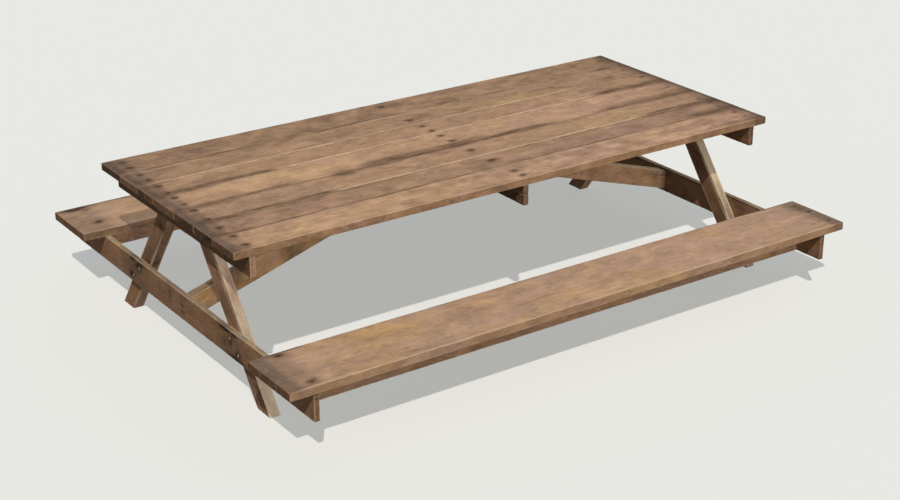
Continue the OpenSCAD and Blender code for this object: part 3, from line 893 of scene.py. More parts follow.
# Faces that look along the table: those that look out of it, and those that look in. Their tones are painted
# light and shade: lighter outer faces on rails and legs, darker inner faces on the rails, and darker faces on
# the battens, which lie under the top.
OUTER_LIGHT_AND_SHADE = {"seat_rail": 1.20, "leg": 1.15, "batten": 0.63}
INNER_LIGHT_AND_SHADE = {"seat_rail": 0.85, "leg": 1.00, "batten": 0.70}
RINGS = {
    # kind of board: from x to x, reach of the dark ring round its nails in mm, strength
    "top_board": [(-1.6, -1.3, 16, 0.95), (-1.3, 1.3, 18, 1.00), (1.3, 1.6, 14, 0.65)],
    "bench": [(-1.6, -1.3, 19, 0.85)],
    "seat_rail": [(-1.6, 1.6, 8, 0.30)],
}
print(f"tones for {len(set(BOARD_TONES) | set(END_TONES))} boards")

# %% [markdown]
# ## From the lists to masks
#
# A mask is one number for each point of a board: how much of something lies there. Hard-edged
# masks would look like stickers, so each kind of mark has a soft formula, mostly a bell curve,
# whose outline seeded noise frays.

# %% Turn the lists into masks
STREAK_FADE = 70
STREAK_SWELL = 0.45
STREAK_SWAY = 0.3
SMOKE_MEAN = 0.82
SMOKE_SWING = 0.40
PATCH_FRAY = 0.5
HALO_FRAY = 0.35
MARK_FRAY = 0.4
HALO_STRETCH = 1.35
HIGHLIT_LINE_SEED = 91


def streak_mask(world, streaks, seed):
    """Sum of smoky streaks: full between their ends and fading beyond them, with a bell curve
    across whose width and place wander along the streak."""
    x, y = world[:, 0] / MM, world[:, 1] / MM
    swell = 1 + STREAK_SWELL * smooth_noise(world * [1, 0, 0], (0.09, 1, 1), seed)
    smoke = SMOKE_MEAN + SMOKE_SWING * fractal_noise(world, (0.13, 0.03, 0.5), seed + 3)
    sway = STREAK_SWAY * smooth_noise(world * [1, 0, 0], (0.16, 1, 1), seed + 7)
    total = np.zeros(len(world))
    for start, stop, middle, half_width, strength in streaks:
        risen = np.clip((x - start) / STREAK_FADE + 0.5, 0, 1)
        fallen = np.clip((stop - x) / STREAK_FADE + 0.5, 0, 1)
        bell = np.exp(-((y - middle - half_width * sway) / (half_width * swell)) ** 2)
        total = 1 - (1 - total) * (1 - np.clip(strength * risen * fallen * bell * smoke, 0, 1))
    return total


def patch_sum(world, patches, seed):
    """Warmth and tone of soft oval patches whose outline is frayed by noise."""
    x, y = world[:, 0] / MM, world[:, 1] / MM
    fray = 1 + PATCH_FRAY * fractal_noise(world, (0.14, 0.05, 0.5), seed)
    warmth, tone = np.zeros(len(world)), np.zeros(len(world))
    for x_mid, y_mid, reach_x, reach_y, warm, light in patches:
        oval = np.exp(-(((x - x_mid) / reach_x) ** 2 + ((y - y_mid) / reach_y) ** 2) * fray)
        warmth += warm * oval
        tone += light * oval
    return warmth, tone


def ring_mask(still, places, reach, seed):
    """Dark halo round each head, a little longer along the grain and frayed by noise."""
    fray = 1 + HALO_FRAY * smooth_noise(still, (0.02, 0.012, 0.02), seed)
    total = np.zeros(len(still))
    for place in places:
        gap = np.hypot((still[:, 0] - place[0]) / HALO_STRETCH, still[:, 1] - place[1]) * fray
        facing = still[:, 2] * place[2] > 0
        total = np.maximum(total, np.exp(-(gap / reach) ** 2) * facing)
    return total


def nail_rings(board, facts, seed):
    """The rings round a board's nails, as strong and wide as the table says for their place."""
    places = facts["dips"]
    x = (board["middle"] + places @ board_axes(board))[:, 0]
    total = np.zeros(len(facts["still"]))
    for kind, rings in RINGS.items():
        if board["node"].startswith(kind):
            for start, stop, reach, strength in rings:
                here = places[(x > start) & (x <= stop)]
                rings_here = strength * ring_mask(facts["still"], here, reach * MM, seed)
                total = np.maximum(total, rings_here)
    return total


def shade_boxes(world, shades):
    """Change of tone and share of grey of soft-edged boxes: each box is full inside and fades
    over a distance beyond its six sides, as a product of six smooth steps."""
    places = world / MM
    factor, grey = np.ones(len(world)), np.zeros(len(world))
    for shade in shades:
        low, high, fade, change, share = np.array(shade[:3]), np.array(shade[3:6]), *shade[6:]
        inside = smooth_step(places, low - fade, low) * (1 - smooth_step(places, high, high + fade))
        box = inside.prod(axis=1)
        factor *= 1 + (change - 1) * box
        grey = np.maximum(grey, share * box)
    return factor, grey


def mark_mask(world, marks, seed):
    """Soft egg-shaped marks: full in the middle and falling off like a bell curve along each
    axis. One reach is short, so that a mark stays on its face of the board."""
    fray = 1 + MARK_FRAY * fractal_noise(world, (0.03, 0.03, 0.03), seed)
    total = np.zeros(len(world))
    for mark in marks:
        centre, reach, strength = np.array(mark[:3]), np.array(mark[3:6]), mark[6]
        far = (((world / MM - centre) / reach) ** 2).sum(axis=1)
        total = np.maximum(total, strength * np.exp(-far * fray))
    return total


# A trial of the worn and highlit line along the front bench's edge.
TRIAL_Y = (-1165, -1160, -1140)
bench_top = node_box("bench_front")[1][2]
trial_spots = np.array([[0.0, y * MM, bench_top] for y in TRIAL_Y])
trial_line = streak_mask(trial_spots, WORN_AND_HIGHLIT_LINES, HIGHLIT_LINE_SEED)
print(f"worn line of the bench at y {TRIAL_Y}: {trial_line.round(2)}")

# %% [markdown]
# ## The shared wood effects
#
# Three wood materials share two effects, each a node group. `wood_grain` draws the year rings:
# they are circles round the tree's middle, so a board that lies away from it shows long arches
# on its face and arcs on its end without any further work. Finer noises are laid over them, each
# stretched along the grain by its own amount. `broken_mask` frays the painted masks with noise,
# so that they don't look sprayed on.

# %% Node groups
PATTERNS = {
    # noise: stretch along, across and through the board, shift, detail, roughness, distortion
    "pores": ((14.0, 420.0, 420.0), (0.0, 0.0, 0.0), 4.0, 0.6, 0.0),
    "streaks": ((5.0, 90.0, 90.0), (4.0, 2.0, 1.0), 5.0, 0.65, 0.0),
    "strokes": ((22.0, 92.0, 92.0), (0.0, 0.0, 0.0), 4.0, 0.62, 0.4),
    "broad": ((0.7, 1.2, 1.2), (0.0, 0.0, 0.0), 6.0, 0.62, 0.5),
    "drift": ((0.7, 1.3, 1.3), (7.0, 3.0, 5.0), 4.0, 0.5, 0.8),
    "smudges": ((12.0, 24.0, 24.0), (0.0, 0.0, 0.0), 4.0, 0.6, 0.6),
    "scuffs": ((22.0, 48.0, 48.0), (1.0, 6.0, 8.0), 4.0, 0.6, 1.0),
}
DRIFT_SCALE = 5.5
RING_RUN = (0.35, 1.0, 1.0)
FACET_RUN = (0.62, 1.15, 1.15)
FACET_BEND = (0.07, 0.05, 0.05)
FACET_SCALE = 19.0
FACET_SOFTNESS = 0.35
STROKE_SLANT = (0.35, 0.0, 0.24)
SMUDGE_RANGE = (0.58, 0.74)
SCUFF_RANGE = (0.56, 0.74)
# How much each part counts in the sums. The shift keeps the clouds' middle at a half.
STREAK_PART = 0.6
BROAD_PART, STROKE_PART, FACET_PART = 0.68, 0.52, 0.12
CLOUD_SHIFT = (BROAD_PART + STROKE_PART + FACET_PART - 1) / 2
HUE_FACETS = 0.09
RING_RELIEF = 0.35


def pattern(tree, name, vector, scale=1.0):
    """The noise of one line of the table, which runs long along the grain."""
    factors, shift, detail, roughness, distortion = PATTERNS[name]
    return noise(tree, stretch(tree, vector, factors, shift), scale, detail, roughness, distortion)


def new_group(name, inputs, outputs):
    """A shader node group with named sockets: inputs give each one's kind and usual value, and
    outputs each one's kind."""
    group = bpy.data.node_groups.new(name, "ShaderNodeTree")
    kinds = {"value": "NodeSocketFloat", "vector": "NodeSocketVector"}
    for label, (kind, default) in inputs.items():
        socket = group.interface.new_socket(label, in_out="INPUT", socket_type=kinds[kind])
        socket.default_value = default
    for label, kind in outputs.items():
        group.interface.new_socket(label, in_out="OUTPUT", socket_type=kinds[kind])
    start = group.nodes.new("NodeGroupInput")
    finish = group.nodes.new("NodeGroupOutput")
    return group, start.outputs, finish.inputs


def year_rings(group, vector, density):
    """Circles round the grain axis, a little bent, as a wave that rises slowly and drops fast."""
    return add_node(group, "ShaderNodeTexWave",
                    {"wave_type": "RINGS", "rings_direction": "X", "wave_profile": "SAW"},
                    {"Vector": stretch(group, vector, RING_RUN), "Scale": density,
                     "Distortion": 5.0, "Detail": 3.0, "Detail Scale": 0.35,
                     "Detail Roughness": 0.6}).outputs["Fac"]


def facet_values(group, vector):
    """Random values for each of many small soft-edged facets. Their places are bent by a finer
    noise, so that they aren't round."""
    scatter = add_node(group, "ShaderNodeTexNoise", None,
                       {"Vector": vector, "Scale": 24.0, "Detail": 3.0}).outputs["Color"]
    bent = add_node(group, "ShaderNodeVectorMath", {"operation": "MULTIPLY_ADD"},
                    {0: scatter, 1: FACET_BEND, 2: vector}).outputs[0]
    facets = add_node(group, "ShaderNodeTexVoronoi", {"feature": "SMOOTH_F1"},
                      {"Vector": stretch(group, bent, FACET_RUN), "Scale": FACET_SCALE,
                       "Smoothness": FACET_SOFTNESS}).outputs["Color"]
    return add_node(group, "ShaderNodeSeparateColor", None, {0: facets}).outputs


def wood_grain_group():
    """Year rings and fine pores, clouds of light and dark with slanting strokes in them, facets
    that each have a tone and a hue, and two sparse masks: smudges and scuffs."""
    group, given, wanted = new_group(
        "wood_grain",
        {"Vector": ("vector", (0.0, 0.0, 0.0)), "Ring Density": ("value", 55.0),
         "Cloud Size": ("value", 9.0)},
        {"Rings": "value", "Pores": "value", "Clouds": "value", "Hue": "value",
         "Smudges": "value", "Scuffs": "value", "Relief": "value"},
    )
    vector = given["Vector"]
    rings = year_rings(group, vector, given["Ring Density"])
    pores = calculate(group, "MULTIPLY", pattern(group, "pores", vector), 1 - STREAK_PART)
    lines = calculate(group, "MULTIPLY_ADD", pattern(group, "streaks", vector), STREAK_PART, pores)
    facet = facet_values(group, vector)
    slanting = add_node(group, "ShaderNodeMapping", {"vector_type": "POINT"},
                        {"Vector": vector, "Rotation": STROKE_SLANT}).outputs[0]
    strokes = calculate(group, "MULTIPLY", pattern(group, "strokes", slanting), STROKE_PART)
    broad = pattern(group, "broad", vector, given["Cloud Size"])
    clouds = calculate(group, "MULTIPLY_ADD", broad, BROAD_PART, strokes)
    centred = calculate(group, "SUBTRACT", clouds, CLOUD_SHIFT)
    clouds = calculate(group, "MULTIPLY_ADD", facet[0], FACET_PART, centred)
    drift = calculate(group, "SUBTRACT", pattern(group, "drift", vector, DRIFT_SCALE), HUE_FACETS / 2)
    hue = calculate(group, "MULTIPLY_ADD", facet[1], HUE_FACETS, drift)
    smudges = rescale(group, pattern(group, "smudges", vector), *SMUDGE_RANGE)
    scuffs = rescale(group, pattern(group, "scuffs", slanting), *SCUFF_RANGE)
    relief = calculate(group, "MULTIPLY_ADD", rings, RING_RELIEF, lines)
    for label, socket in (("Rings", rings), ("Pores", lines), ("Clouds", clouds), ("Hue", hue),
                          ("Smudges", smudges), ("Scuffs", scuffs), ("Relief", relief)):
        group.links.new(socket, wanted[label])
    return group


def broken_mask_group():
    """A painted mask, frayed: it is multiplied by noise that swings about one, and held between
    nought and one. So its full middle mostly stays full, and what is faint comes and goes."""
    group, given, wanted = new_group(
        "broken_mask",
        {"Mask": ("value", 0.0), "Vector": ("vector", (0.0, 0.0, 0.0)), "Scale": ("value", 40.0),
         "Fray": ("value", 0.5)},
        {"Mask": "value"},
    )
    grains = noise(group, given["Vector"], given["Scale"], 5.0, 0.65)
    offset = calculate(group, "SUBTRACT", grains, 0.5)
    pushed = calculate(group, "MULTIPLY", offset, calculate(group, "MULTIPLY", given["Fray"], 2.0))
    scaled = calculate(group, "MULTIPLY_ADD", pushed, given["Mask"], given["Mask"], clamp=True)
    group.links.new(scaled, wanted["Mask"])
    return group


wood_grain = wood_grain_group()
broken_mask = broken_mask_group()
print(f"node groups: {[group.name for group in bpy.data.node_groups]}")

# %% [markdown]
# ## Weathered wood
#
# The boards are a warm brown softwood that sun and rain have turned tan on top, while sides and undersides
# kept a deeper brown. The material lays its colours on in the order in which a board meets them: the wood
# with its grain, the yellow and rosy patches, the grey bands and the dark end grain, then the board's own
# tone, and over it smudges, scuffs, stains with the painted shade of joints and edges, and last the pale worn
# arrises with painted highlights. Only the colours and their contrast differ between the top, the benches and
# the frame, so one function makes all three materials.

# %% Wood materials
RING_DENSITY = 52.0
CLOUD_SIZE = 8.5
# Where the rings and pores begin to show and where they are full, and how much of each effect
# shows, as a share of its colour.
RING_RANGE = (0.55, 1.0)
PORE_RANGE = (0.46, 0.68)
RING_SHARE = 0.14
PORE_SHARE = 0.42
HUE_SWING = 2.9
YELLOW_SHARE = 0.75
ROSY_SHARE = 0.85
SMUDGE_SHARE = 0.30
SCUFF_SHARE = 0.26
LEAST_TONE = 0.05
FRAYED_MASKS = [
    # attribute, colour, stretch along the grain, scale of the fraying noise, amount
    # The stain mask also holds painted shade, and the wear mask painted highlights.
    ("stain", "stain", 0.35, 60.0, 0.7),
    ("wear_and_highlight", "worn", 0.30, 90.0, 1.0),
]
WOOD_ROUGHNESS = 0.68
CLOUD_ROUGHNESS = 0.22
WOOD_GLOSS = 0.07
BUMP_STRENGTH = 0.55
GRAIN_BUMP = 0.6 * MM


def read_attribute(tree, name, socket="Fac"):
    """A value, or with Vector a point, that is stored with the mesh."""
    return add_node(tree, "ShaderNodeAttribute", {"attribute_name": name}).outputs[socket]


def fray(tree, mask, vector, scale, amount):
    """One use of the broken_mask group."""
    placed = add_node(tree, "ShaderNodeGroup", {"node_tree": broken_mask},
                      {"Mask": mask, "Vector": vector, "Scale": scale, "Fray": amount})
    return placed.outputs["Mask"]


def bare_wood(tree, grain, colours):
    """The wood itself: pale or deep by how bleached it is, with dark rings and pores, yellow and
    rosy patches, grey bands and dark end grain laid over it in turn."""
    base = blend(tree, read_attribute(tree, "bleach"), colours["sides"], colours["tops"])
    ring_share = calculate(tree, "MULTIPLY", rescale(tree, grain["Rings"], *RING_RANGE), RING_SHARE)
    pore_share = rescale(tree, grain["Pores"], *PORE_RANGE, 0.0, PORE_SHARE)
    for share in (ring_share, pore_share):
        base = blend(tree, share, base, colours["dark_grain"])
    hue = calculate(tree, "SUBTRACT", grain["Hue"], 0.5)
    warmth = calculate(tree, "MULTIPLY_ADD", hue, HUE_SWING, read_attribute(tree, "warmth"))
    for tint, share in (("yellow", YELLOW_SHARE), ("rosy", -ROSY_SHARE)):
        base = blend(tree, calculate(tree, "MULTIPLY", warmth, share, clamp=True), base, colours[tint])
    for mask, tint in (("silver", "grey"), ("end_grain", "end_grain")):
        base = blend(tree, read_attribute(tree, mask), base, colours[tint])
    return base


def weathered_wood(tree, base, place, grain, contrast, colours):
    """What lies over the wood: the board's tone and its clouds of light and dark, as a factor, then faint
    smudges and scuffs, and last the frayed stains with painted shade and the pale arrises with painted
    highlights."""
    swing = calculate(tree, "SUBTRACT", grain["Clouds"], 0.5)
    tone = calculate(tree, "MULTIPLY_ADD", swing, contrast, read_attribute(tree, "tone"))
    tone = calculate(tree, "MAXIMUM", tone, LEAST_TONE)
    base = add_node(tree, "ShaderNodeVectorMath", {"operation": "SCALE"},
                    {0: base, "Scale": tone}).outputs[0]
    for label, share, tint in (("Smudges", SMUDGE_SHARE, "stain"), ("Scuffs", SCUFF_SHARE, "worn")):
        base = blend(tree, calculate(tree, "MULTIPLY", grain[label], share), base, colours[tint])
    for label, tint, run, scale, amount in FRAYED_MASKS:
        stretched = stretch(tree, place, (run, 1.0, 1.0))
        mask = fray(tree, read_attribute(tree, label), stretched, scale, amount)
        base = blend(tree, mask, base, colours[tint])
    return base


def wood_material(name, contrast, **colours):
    """Weathered wood from nine colours, and how strongly its clouds of light and dark show. The
    masks are the mesh's own attributes."""
    made, tree = empty_material(name)
    place = read_attribute(tree, "grain_at", "Vector")
    grain = add_node(tree, "ShaderNodeGroup", {"node_tree": wood_grain},
                     {"Vector": place, "Ring Density": RING_DENSITY,
                      "Cloud Size": CLOUD_SIZE}).outputs
    base = weathered_wood(tree, bare_wood(tree, grain, colours), place, grain, contrast, colours)
    rough = calculate(tree, "MULTIPLY_ADD", grain["Clouds"], CLOUD_ROUGHNESS, WOOD_ROUGHNESS)
    bump = add_node(tree, "ShaderNodeBump", None,
                    {"Strength": BUMP_STRENGTH, "Distance": GRAIN_BUMP, "Height": grain["Relief"]})
    shader = add_node(tree, "ShaderNodeBsdfPrincipled", None,
                      {"Base Color": base, "Roughness": rough, "Specular IOR Level": WOOD_GLOSS,
                       "Normal": bump.outputs[0]})
    add_node(tree, "ShaderNodeOutputMaterial", None, {"Surface": shader.outputs[0]})
    print(f"{name}: {len(tree.nodes)} nodes")
    return made


# The stain colour also paints shade in the joints and at the rail's lower edge, and worn paints highlights
# along front arrises.
wood_materials = {
    "top_wood": wood_material(
        "weathered_top_wood", contrast=1.65, sides=colour(149, 115, 86), tops=colour(170, 137, 110),
        dark_grain=colour(120, 88, 66), yellow=colour(178, 147, 108), rosy=colour(162, 129, 110),
        end_grain=colour(134, 100, 75), grey=colour(101, 83, 71), stain=colour(64, 46, 31),
        worn=colour(212, 184, 154)),
    "bench_wood": wood_material(
        "weathered_bench_wood", contrast=1.35, sides=colour(159, 125, 97), tops=colour(178, 146, 118),
        dark_grain=colour(134, 101, 78), yellow=colour(187, 150, 104), rosy=colour(172, 140, 123),
        end_grain=colour(142, 106, 81), grey=colour(107, 90, 78), stain=colour(62, 47, 37),
        worn=colour(214, 186, 156)),
    "frame_wood": wood_material(
        "weathered_frame_wood", contrast=1.8, sides=colour(156, 119, 92), tops=colour(149, 133, 112),
        dark_grain=colour(112, 82, 60), yellow=colour(170, 133, 80), rosy=colour(140, 106, 90),
        end_grain=colour(120, 92, 71), grey=colour(110, 92, 78), stain=colour(50, 37, 28),
        worn=colour(205, 182, 150)),
}

# %% [markdown]
# ## Build and paint the boards
#
# Each board is shaped, painted and put in its node's place. The paint first lays down what every
# board has: bleaching where it sees the sky, dark end grain, stained splits and worn arrises.
# The lists above then add what belongs to one place on the table.

# %% What every board has
# How far a face looks in a direction when its paint begins, and when it is full.
UPWARD = (0.2, 0.8)
FRONTWARD = (0.5, 0.9)
NEARWARD = (0.5, 0.75)
SIDEWARD = (0.6, 0.9)
ENDWARD = (0.75, 0.95)
LEFTWARD = (0.3, 0.7)
# The worn arrises: how pale each kind of board's are, and how far they reach over its faces.
ARRIS_PALE = {"top": 0.25, "bench": 0.50, "seat": 0.42, "leg": 0.95, "brace": 0.50, "batten": 0.40}
ARRIS_REACH = 6.5 * MM
LEG_ARRIS_REACH = 9.5 * MM
ARRIS_FULL = 1.5 * MM
UPRIGHT_GAP = 4 * MM
WEAR_MEAN = 0.45
WEAR_SWING = 0.9
# How dark the splits are, and by how many millimetres noise frays the grey bands.
CRACK_STAIN = 0.75
END_BAND_FRAY = 12
END_BAND_SEED = 77


def arris_mask(facts, seed, reach):
    """How near a point lies to an arris, measured over the skin: on a flat face one distance to
    the sides is nought, and the smallest sum of two distances is the way to the arris. The
    upright corners of the ends count as a little further off."""
    gaps = facts["half"] - np.abs(facts["still"])
    along, across, through = gaps.T
    way = np.min([along + through, across + through, along + across + UPRIGHT_GAP], axis=0)
    wear_and_highlight = WEAR_MEAN + WEAR_SWING * smooth_noise(facts["still"], (0.12, 0.3, 0.3), seed)
    return np.clip(smooth_step(-way, -reach, -ARRIS_FULL) * wear_and_highlight, 0, 1)


def end_bands(node, world):
    """Grey bands over a board's two ends: each grows from nought to its strength between two
    places that noise frays, and bands at one end add up."""
    smoke = END_BAND_FRAY * fractal_noise(world, (0.05, 0.06, 0.5), END_BAND_SEED)
    total = np.zeros(len(world))
    for kind, bands in END_BANDS.items():
        if node.startswith(kind):
            for end, start, full, strength in bands:
                total += strength * smooth_step(end * world[:, 0] / MM + smoke, start, full)
    return total


def face_light_and_shade(node, facing, world):
    """Painted light and shade on the faces that look along the table: outer ones lighter, or darker on the
    battens, and inner ones darker.
    """
    sideways = smooth_step(np.abs(facing[:, 0]), *SIDEWARD)
    outer = facing[:, 0] * world[:, 0] > 0
    factor = np.ones(len(facing))
    for kind in OUTER_LIGHT_AND_SHADE:
        if node.startswith(kind):
            factor = np.where(outer, OUTER_LIGHT_AND_SHADE[kind], INNER_LIGHT_AND_SHADE[kind])
    return 1 + (factor - 1) * sideways


def board_tone(node, facing, world, end_grain, upper, shade, seed):
    """Tone of each point: the board's own or its end grain's, times the painted light and shade of faces that
    look along the table, times the tone of faces that look to the front, times the shades, some of which are
    painted light and shade, and blotches on the upper face."""
    tone = BOARD_TONES.get(node, 1.0) * (1 - end_grain) + END_TONES.get(node, 1.0) * end_grain
    tone *= face_light_and_shade(node, facing, world)
    tone *= 1 + (FRONT_TONES.get(node, 1.0) - 1) * smooth_step(-facing[:, 1], *FRONTWARD)
    tone *= shade
    left, right = MOTTLE.get(node, (0.0, 0.0))
    mottle = left + (right - left) * smooth_step(world[:, 0] / MM, *MOTTLE_TURN)
    return tone + mottle * fractal_noise(world, (0.085, 0.05, 0.5), seed + 67) * upper


print(f"worn arrises reach {ARRIS_REACH / MM:.1f} mm over the faces, on legs {LEG_ARRIS_REACH / MM:.1f}")

# %% [markdown]
# ## What belongs to one kind of board
#
# The tops of the table and of the benches lie in the sun and take the streaks and patches. The joints of the
# top hold dirt and get painted shade. The front legs' near faces are bleached like a top and get painted
# light and shade by height, but a brown band of painted shade is left along their left edges, where the
# photograph shows them darker, and a pale line of painted highlight runs beside it. Each of these is a short
# function that changes the board's paint.

# %% Paint for one kind of board
# The brown band of painted shade on the front legs, in millimetres: where it ends, and the heights where it
# begins.
SHADE_BAND = (7, 12)
SHADE_BAND_HEIGHTS = (200, 260)
SHADE_BAND_DARK = 0.62
SHADE_BAND_FACING = 0.2
# The pale line beside it, a painted highlight: millimetres from the leg's left edge, half width and strength.
PAINTED_HIGHLIGHT_LINE = (12.5, 3, 0.38)
# The top and the benches: streaks, their seed and limit, patches and their seed.
UPPER_PAINT = {
    "top_wood": (TOP_STREAKS, 71, 0.88, TOP_PATCHES, 81),
    "bench_wood": (BENCH_STREAKS, 72, 1.0, BENCH_PATCHES, 82),
}
HIGHLIT_LINE_FACING = 0.15
# Their tone rises to the right, per metre, and falls again over a stretch at the right end.
TONE_RISE = 0.03
TONE_FALL = 0.07
RIGHT_END = (800, 1350)
# The top's arrises are worn up to here. Its joints are dark with dirt and painted shade, but its two long
# edges, further from the middle than the rim, are no joints.
TOP_WORN_TO = 1450
SEAM_FACING = 0.6
SEAM_DIRT_AND_SHADE = 0.85
RIM_FROM = 0.645
CORNER_WIDTH = 5
# The braces: their upper edges lie in the shade and are darkened by painted shade, and their arrises are worn
# up to the rails.
BRACE_TOP_PAINTED_SHADE = 0.20
BRACE_WORN_TO = 1385
cad_middle_y = (cad_box[0][1] + cad_box[1][1]) / 2


def paint_near_face(board, facing, world, paint):
    """A front leg's near face: bleached, with painted light and shade by height, except for the brown band of
    painted shade, beside which runs a pale line of painted highlight.
    """
    near = smooth_step(-facing[:, 1], *NEARWARD)
    height = world[:, 2] / MM
    from_edge = (world[:, 0] - node_box(board["node"])[0][0]) / MM
    painted_shade_band = (1 - smooth_step(from_edge, *SHADE_BAND)) * smooth_step(height, *SHADE_BAND_HEIGHTS)
    middle, half_width, strength = PAINTED_HIGHLIGHT_LINE
    highlight_line = strength * np.exp(-((from_edge - middle) / half_width) ** 2) * near
    by_height = 1 + (np.interp(height, *NEAR_FACE_LIGHT_AND_SHADE[board["node"]]) - 1) * near
    paint["tone"] *= by_height * (1 - SHADE_BAND_DARK * painted_shade_band * near)
    paint["bleach"] = np.maximum(paint["bleach"], near * (1 - painted_shade_band))
    arris_in_shade_band = painted_shade_band * (facing[:, 1] < -SHADE_BAND_FACING)
    paint["wear_and_highlight"] = np.maximum(paint["wear_and_highlight"] * (1 - arris_in_shade_band), highlight_line)


def paint_upper_face(slot, facing, world, upper, paint):
    """The streaks, worn and highlit lines and patches of the upper faces of the top and the benches. The
    lines along the front arrises are partly wear and partly painted highlight.
    """
    streaks, streak_seed, limit, patches, patch_seed = UPPER_PAINT[slot]
    x = world[:, 0] / MM
    paint["tone"] *= 1 + TONE_RISE * world[:, 0] - TONE_FALL * smooth_step(x, *RIGHT_END)
    smoky = np.minimum(streak_mask(world, streaks, streak_seed), limit) * upper
    paint["stain"] = np.maximum(paint["stain"], smoky)
    lines = streak_mask(world, WORN_AND_HIGHLIT_LINES, HIGHLIT_LINE_SEED) * (facing[:, 2] > HIGHLIT_LINE_FACING)
    paint["wear_and_highlight"] = np.maximum(paint["wear_and_highlight"], lines)
    warm, light = patch_sum(world, patches, patch_seed)
    paint["warmth"] += warm * upper
    paint["tone"] += light * upper


def paint_seams(outward, facing, world, paint):
    """Dirt and painted shade between the boards of the top, and pale corners where the joints reach its left
    end.
    """
    in_seam = np.abs(outward[:, 1]) > SEAM_FACING
    rim = np.abs(world[:, 1] - cad_middle_y) > RIM_FROM
    paint["stain"] = np.where(in_seam & ~rim, SEAM_DIRT_AND_SHADE, paint["stain"])
    corners = [strength * np.exp(-((world[:, 1] / MM - place) / CORNER_WIDTH) ** 2)
               for place, strength in SEAM_CORNERS]
    pale = np.max(corners, axis=0) * smooth_step(-facing[:, 0], *LEFTWARD)
    paint["wear_and_highlight"] = np.maximum(paint["wear_and_highlight"], pale)


def slot_of(node):
    """The record's material slot for a wooden node."""
    if node.startswith("top_board"):
        return "top_wood"
    if node in ("bench_front", "bench_rear"):
        return "bench_wood"
    return "frame_wood"


print(f"slots: {sorted({slot_of(node) for node in boards})}, brown bands: {sorted(NEAR_FACE_LIGHT_AND_SHADE)}")

# %% [markdown]
# ## Where a board lay in its tree
#
# The wood material draws year rings round a tree's middle, the pith. A saw cuts every board from
# another place beside the pith, and no tree is straight, so each board is given its own offset
# from it, which sways along its length. Without this, all boards would show the same rings.

# %% Paint one board
ALONG_TREE = (-20, 20)
PITH_ASIDE = (-0.35, 0.35)
PITH_BELOW = (50, 120)
PITH_SWAY = 18 * MM
BOLT_PROUD = 14 * MM
BOLT_RING = 17 * MM
BOLT_STAIN = 0.70


def grain_places(board, still, seed):
    """Each point's place in the tree: along it from an offset, and across it from the pith."""
    draw = np.random.default_rng(seed + 41)
    offset = draw.uniform(*ALONG_TREE)
    pith = np.array([draw.uniform(*PITH_ASIDE) * board["width"], -draw.uniform(*PITH_BELOW) * MM])
    sway = np.stack([smooth_noise(still * [1, 0, 0], (0.8, 1, 1), seed + 51),
                     smooth_noise(still * [1, 0, 0], (0.55, 1, 1), seed + 53)], axis=1) * PITH_SWAY
    return np.column_stack([still[:, 0] + offset, still[:, 1:] - pith - sway])


def own_marks(board, facts, seed):
    """Stains of one board: its marks, with painted shade among those of the left rail, the rings round its
    nails and those round its bolts.
    """
    bolts = heads_on(board, ("frame_bolts",), BOLT_PROUD)
    return np.max([
        mark_mask(facts["world"], MARKS.get(board["node"], []), seed + 37),
        nail_rings(board, facts, seed + 31),
        BOLT_STAIN * ring_mask(facts["still"], bolts, BOLT_RING, seed + 33),
    ], axis=0)


def paint_board(board, facts, seed):
    """All painted values of one board, by attribute name: what every board has, then what its
    kind has, and last its own marks."""
    node, outward, world = board["node"], facts["outward"], facts["world"]
    kind, slot, x = node.split("_")[0], slot_of(node), world[:, 0] / MM
    facing = outward @ board_axes(board)
    upper = smooth_step(facing[:, 2], *UPWARD)
    end_grain = smooth_step(np.abs(outward[:, 0]), *ENDWARD)
    shade, grey = shade_boxes(world, SHADES.get(node, []))
    reach = LEG_ARRIS_REACH if kind == "leg" else ARRIS_REACH
    rosy_grey = ROSY_GREY_TO_RIGHT.get(node, 0.0) * smooth_step(x, *ROSY_GREY_RISE) * upper
    paint = {
        "grain_at": grain_places(board, facts["still"], seed),
        "bleach": upper,
        "end_grain": end_grain,
        "tone": board_tone(node, facing, world, end_grain, upper, shade, seed),
        "stain": CRACK_STAIN * facts["crack"],
        "warmth": YELLOWED.get(node, 0.0) - rosy_grey,
        "wear_and_highlight": arris_mask(facts, seed + 61, reach) * ARRIS_PALE[kind],
        "silver": np.maximum(end_bands(node, world) * upper, grey),
    }
    if node in NEAR_FACE_LIGHT_AND_SHADE:
        paint_near_face(board, facing, world, paint)
    if slot == "top_wood":
        paint["wear_and_highlight"] *= x < TOP_WORN_TO
    if slot in UPPER_PAINT:
        paint_upper_face(slot, facing, world, upper, paint)
    if slot == "top_wood":
        paint_seams(outward, facing, world, paint)
    if kind == "brace":
        # Painted shade on the braces' upper faces.
        paint["tone"] *= 1 - BRACE_TOP_PAINTED_SHADE * upper
        paint["wear_and_highlight"] *= np.abs(x) < BRACE_WORN_TO
    paint["stain"] = np.clip(np.maximum(paint["stain"], own_marks(board, facts, seed)), 0, 1)
    paint["wear_and_highlight"] = np.clip(paint["wear_and_highlight"], 0, 1)
    return paint


def board_object(name, points, faces, painted, material):
    """Puts the arrays into a mesh, with every painted value as an attribute of its points."""
    mesh = bpy.data.meshes.new(name)
    mesh.from_pydata(points.tolist(), [], faces.tolist())
    for label, values in painted.items():
        kind = "FLOAT" if values.ndim == 1 else "FLOAT_VECTOR"
        field = "value" if values.ndim == 1 else "vector"
        attribute = mesh.attributes.new(label, kind, "POINT")
        attribute.data.foreach_set(field, values.astype(np.float32).ravel())
    mesh.shade_smooth()
    mesh.materials.append(material)
    made = bpy.data.objects.new(name, mesh)
    bpy.context.scene.collection.objects.link(made)
    return made


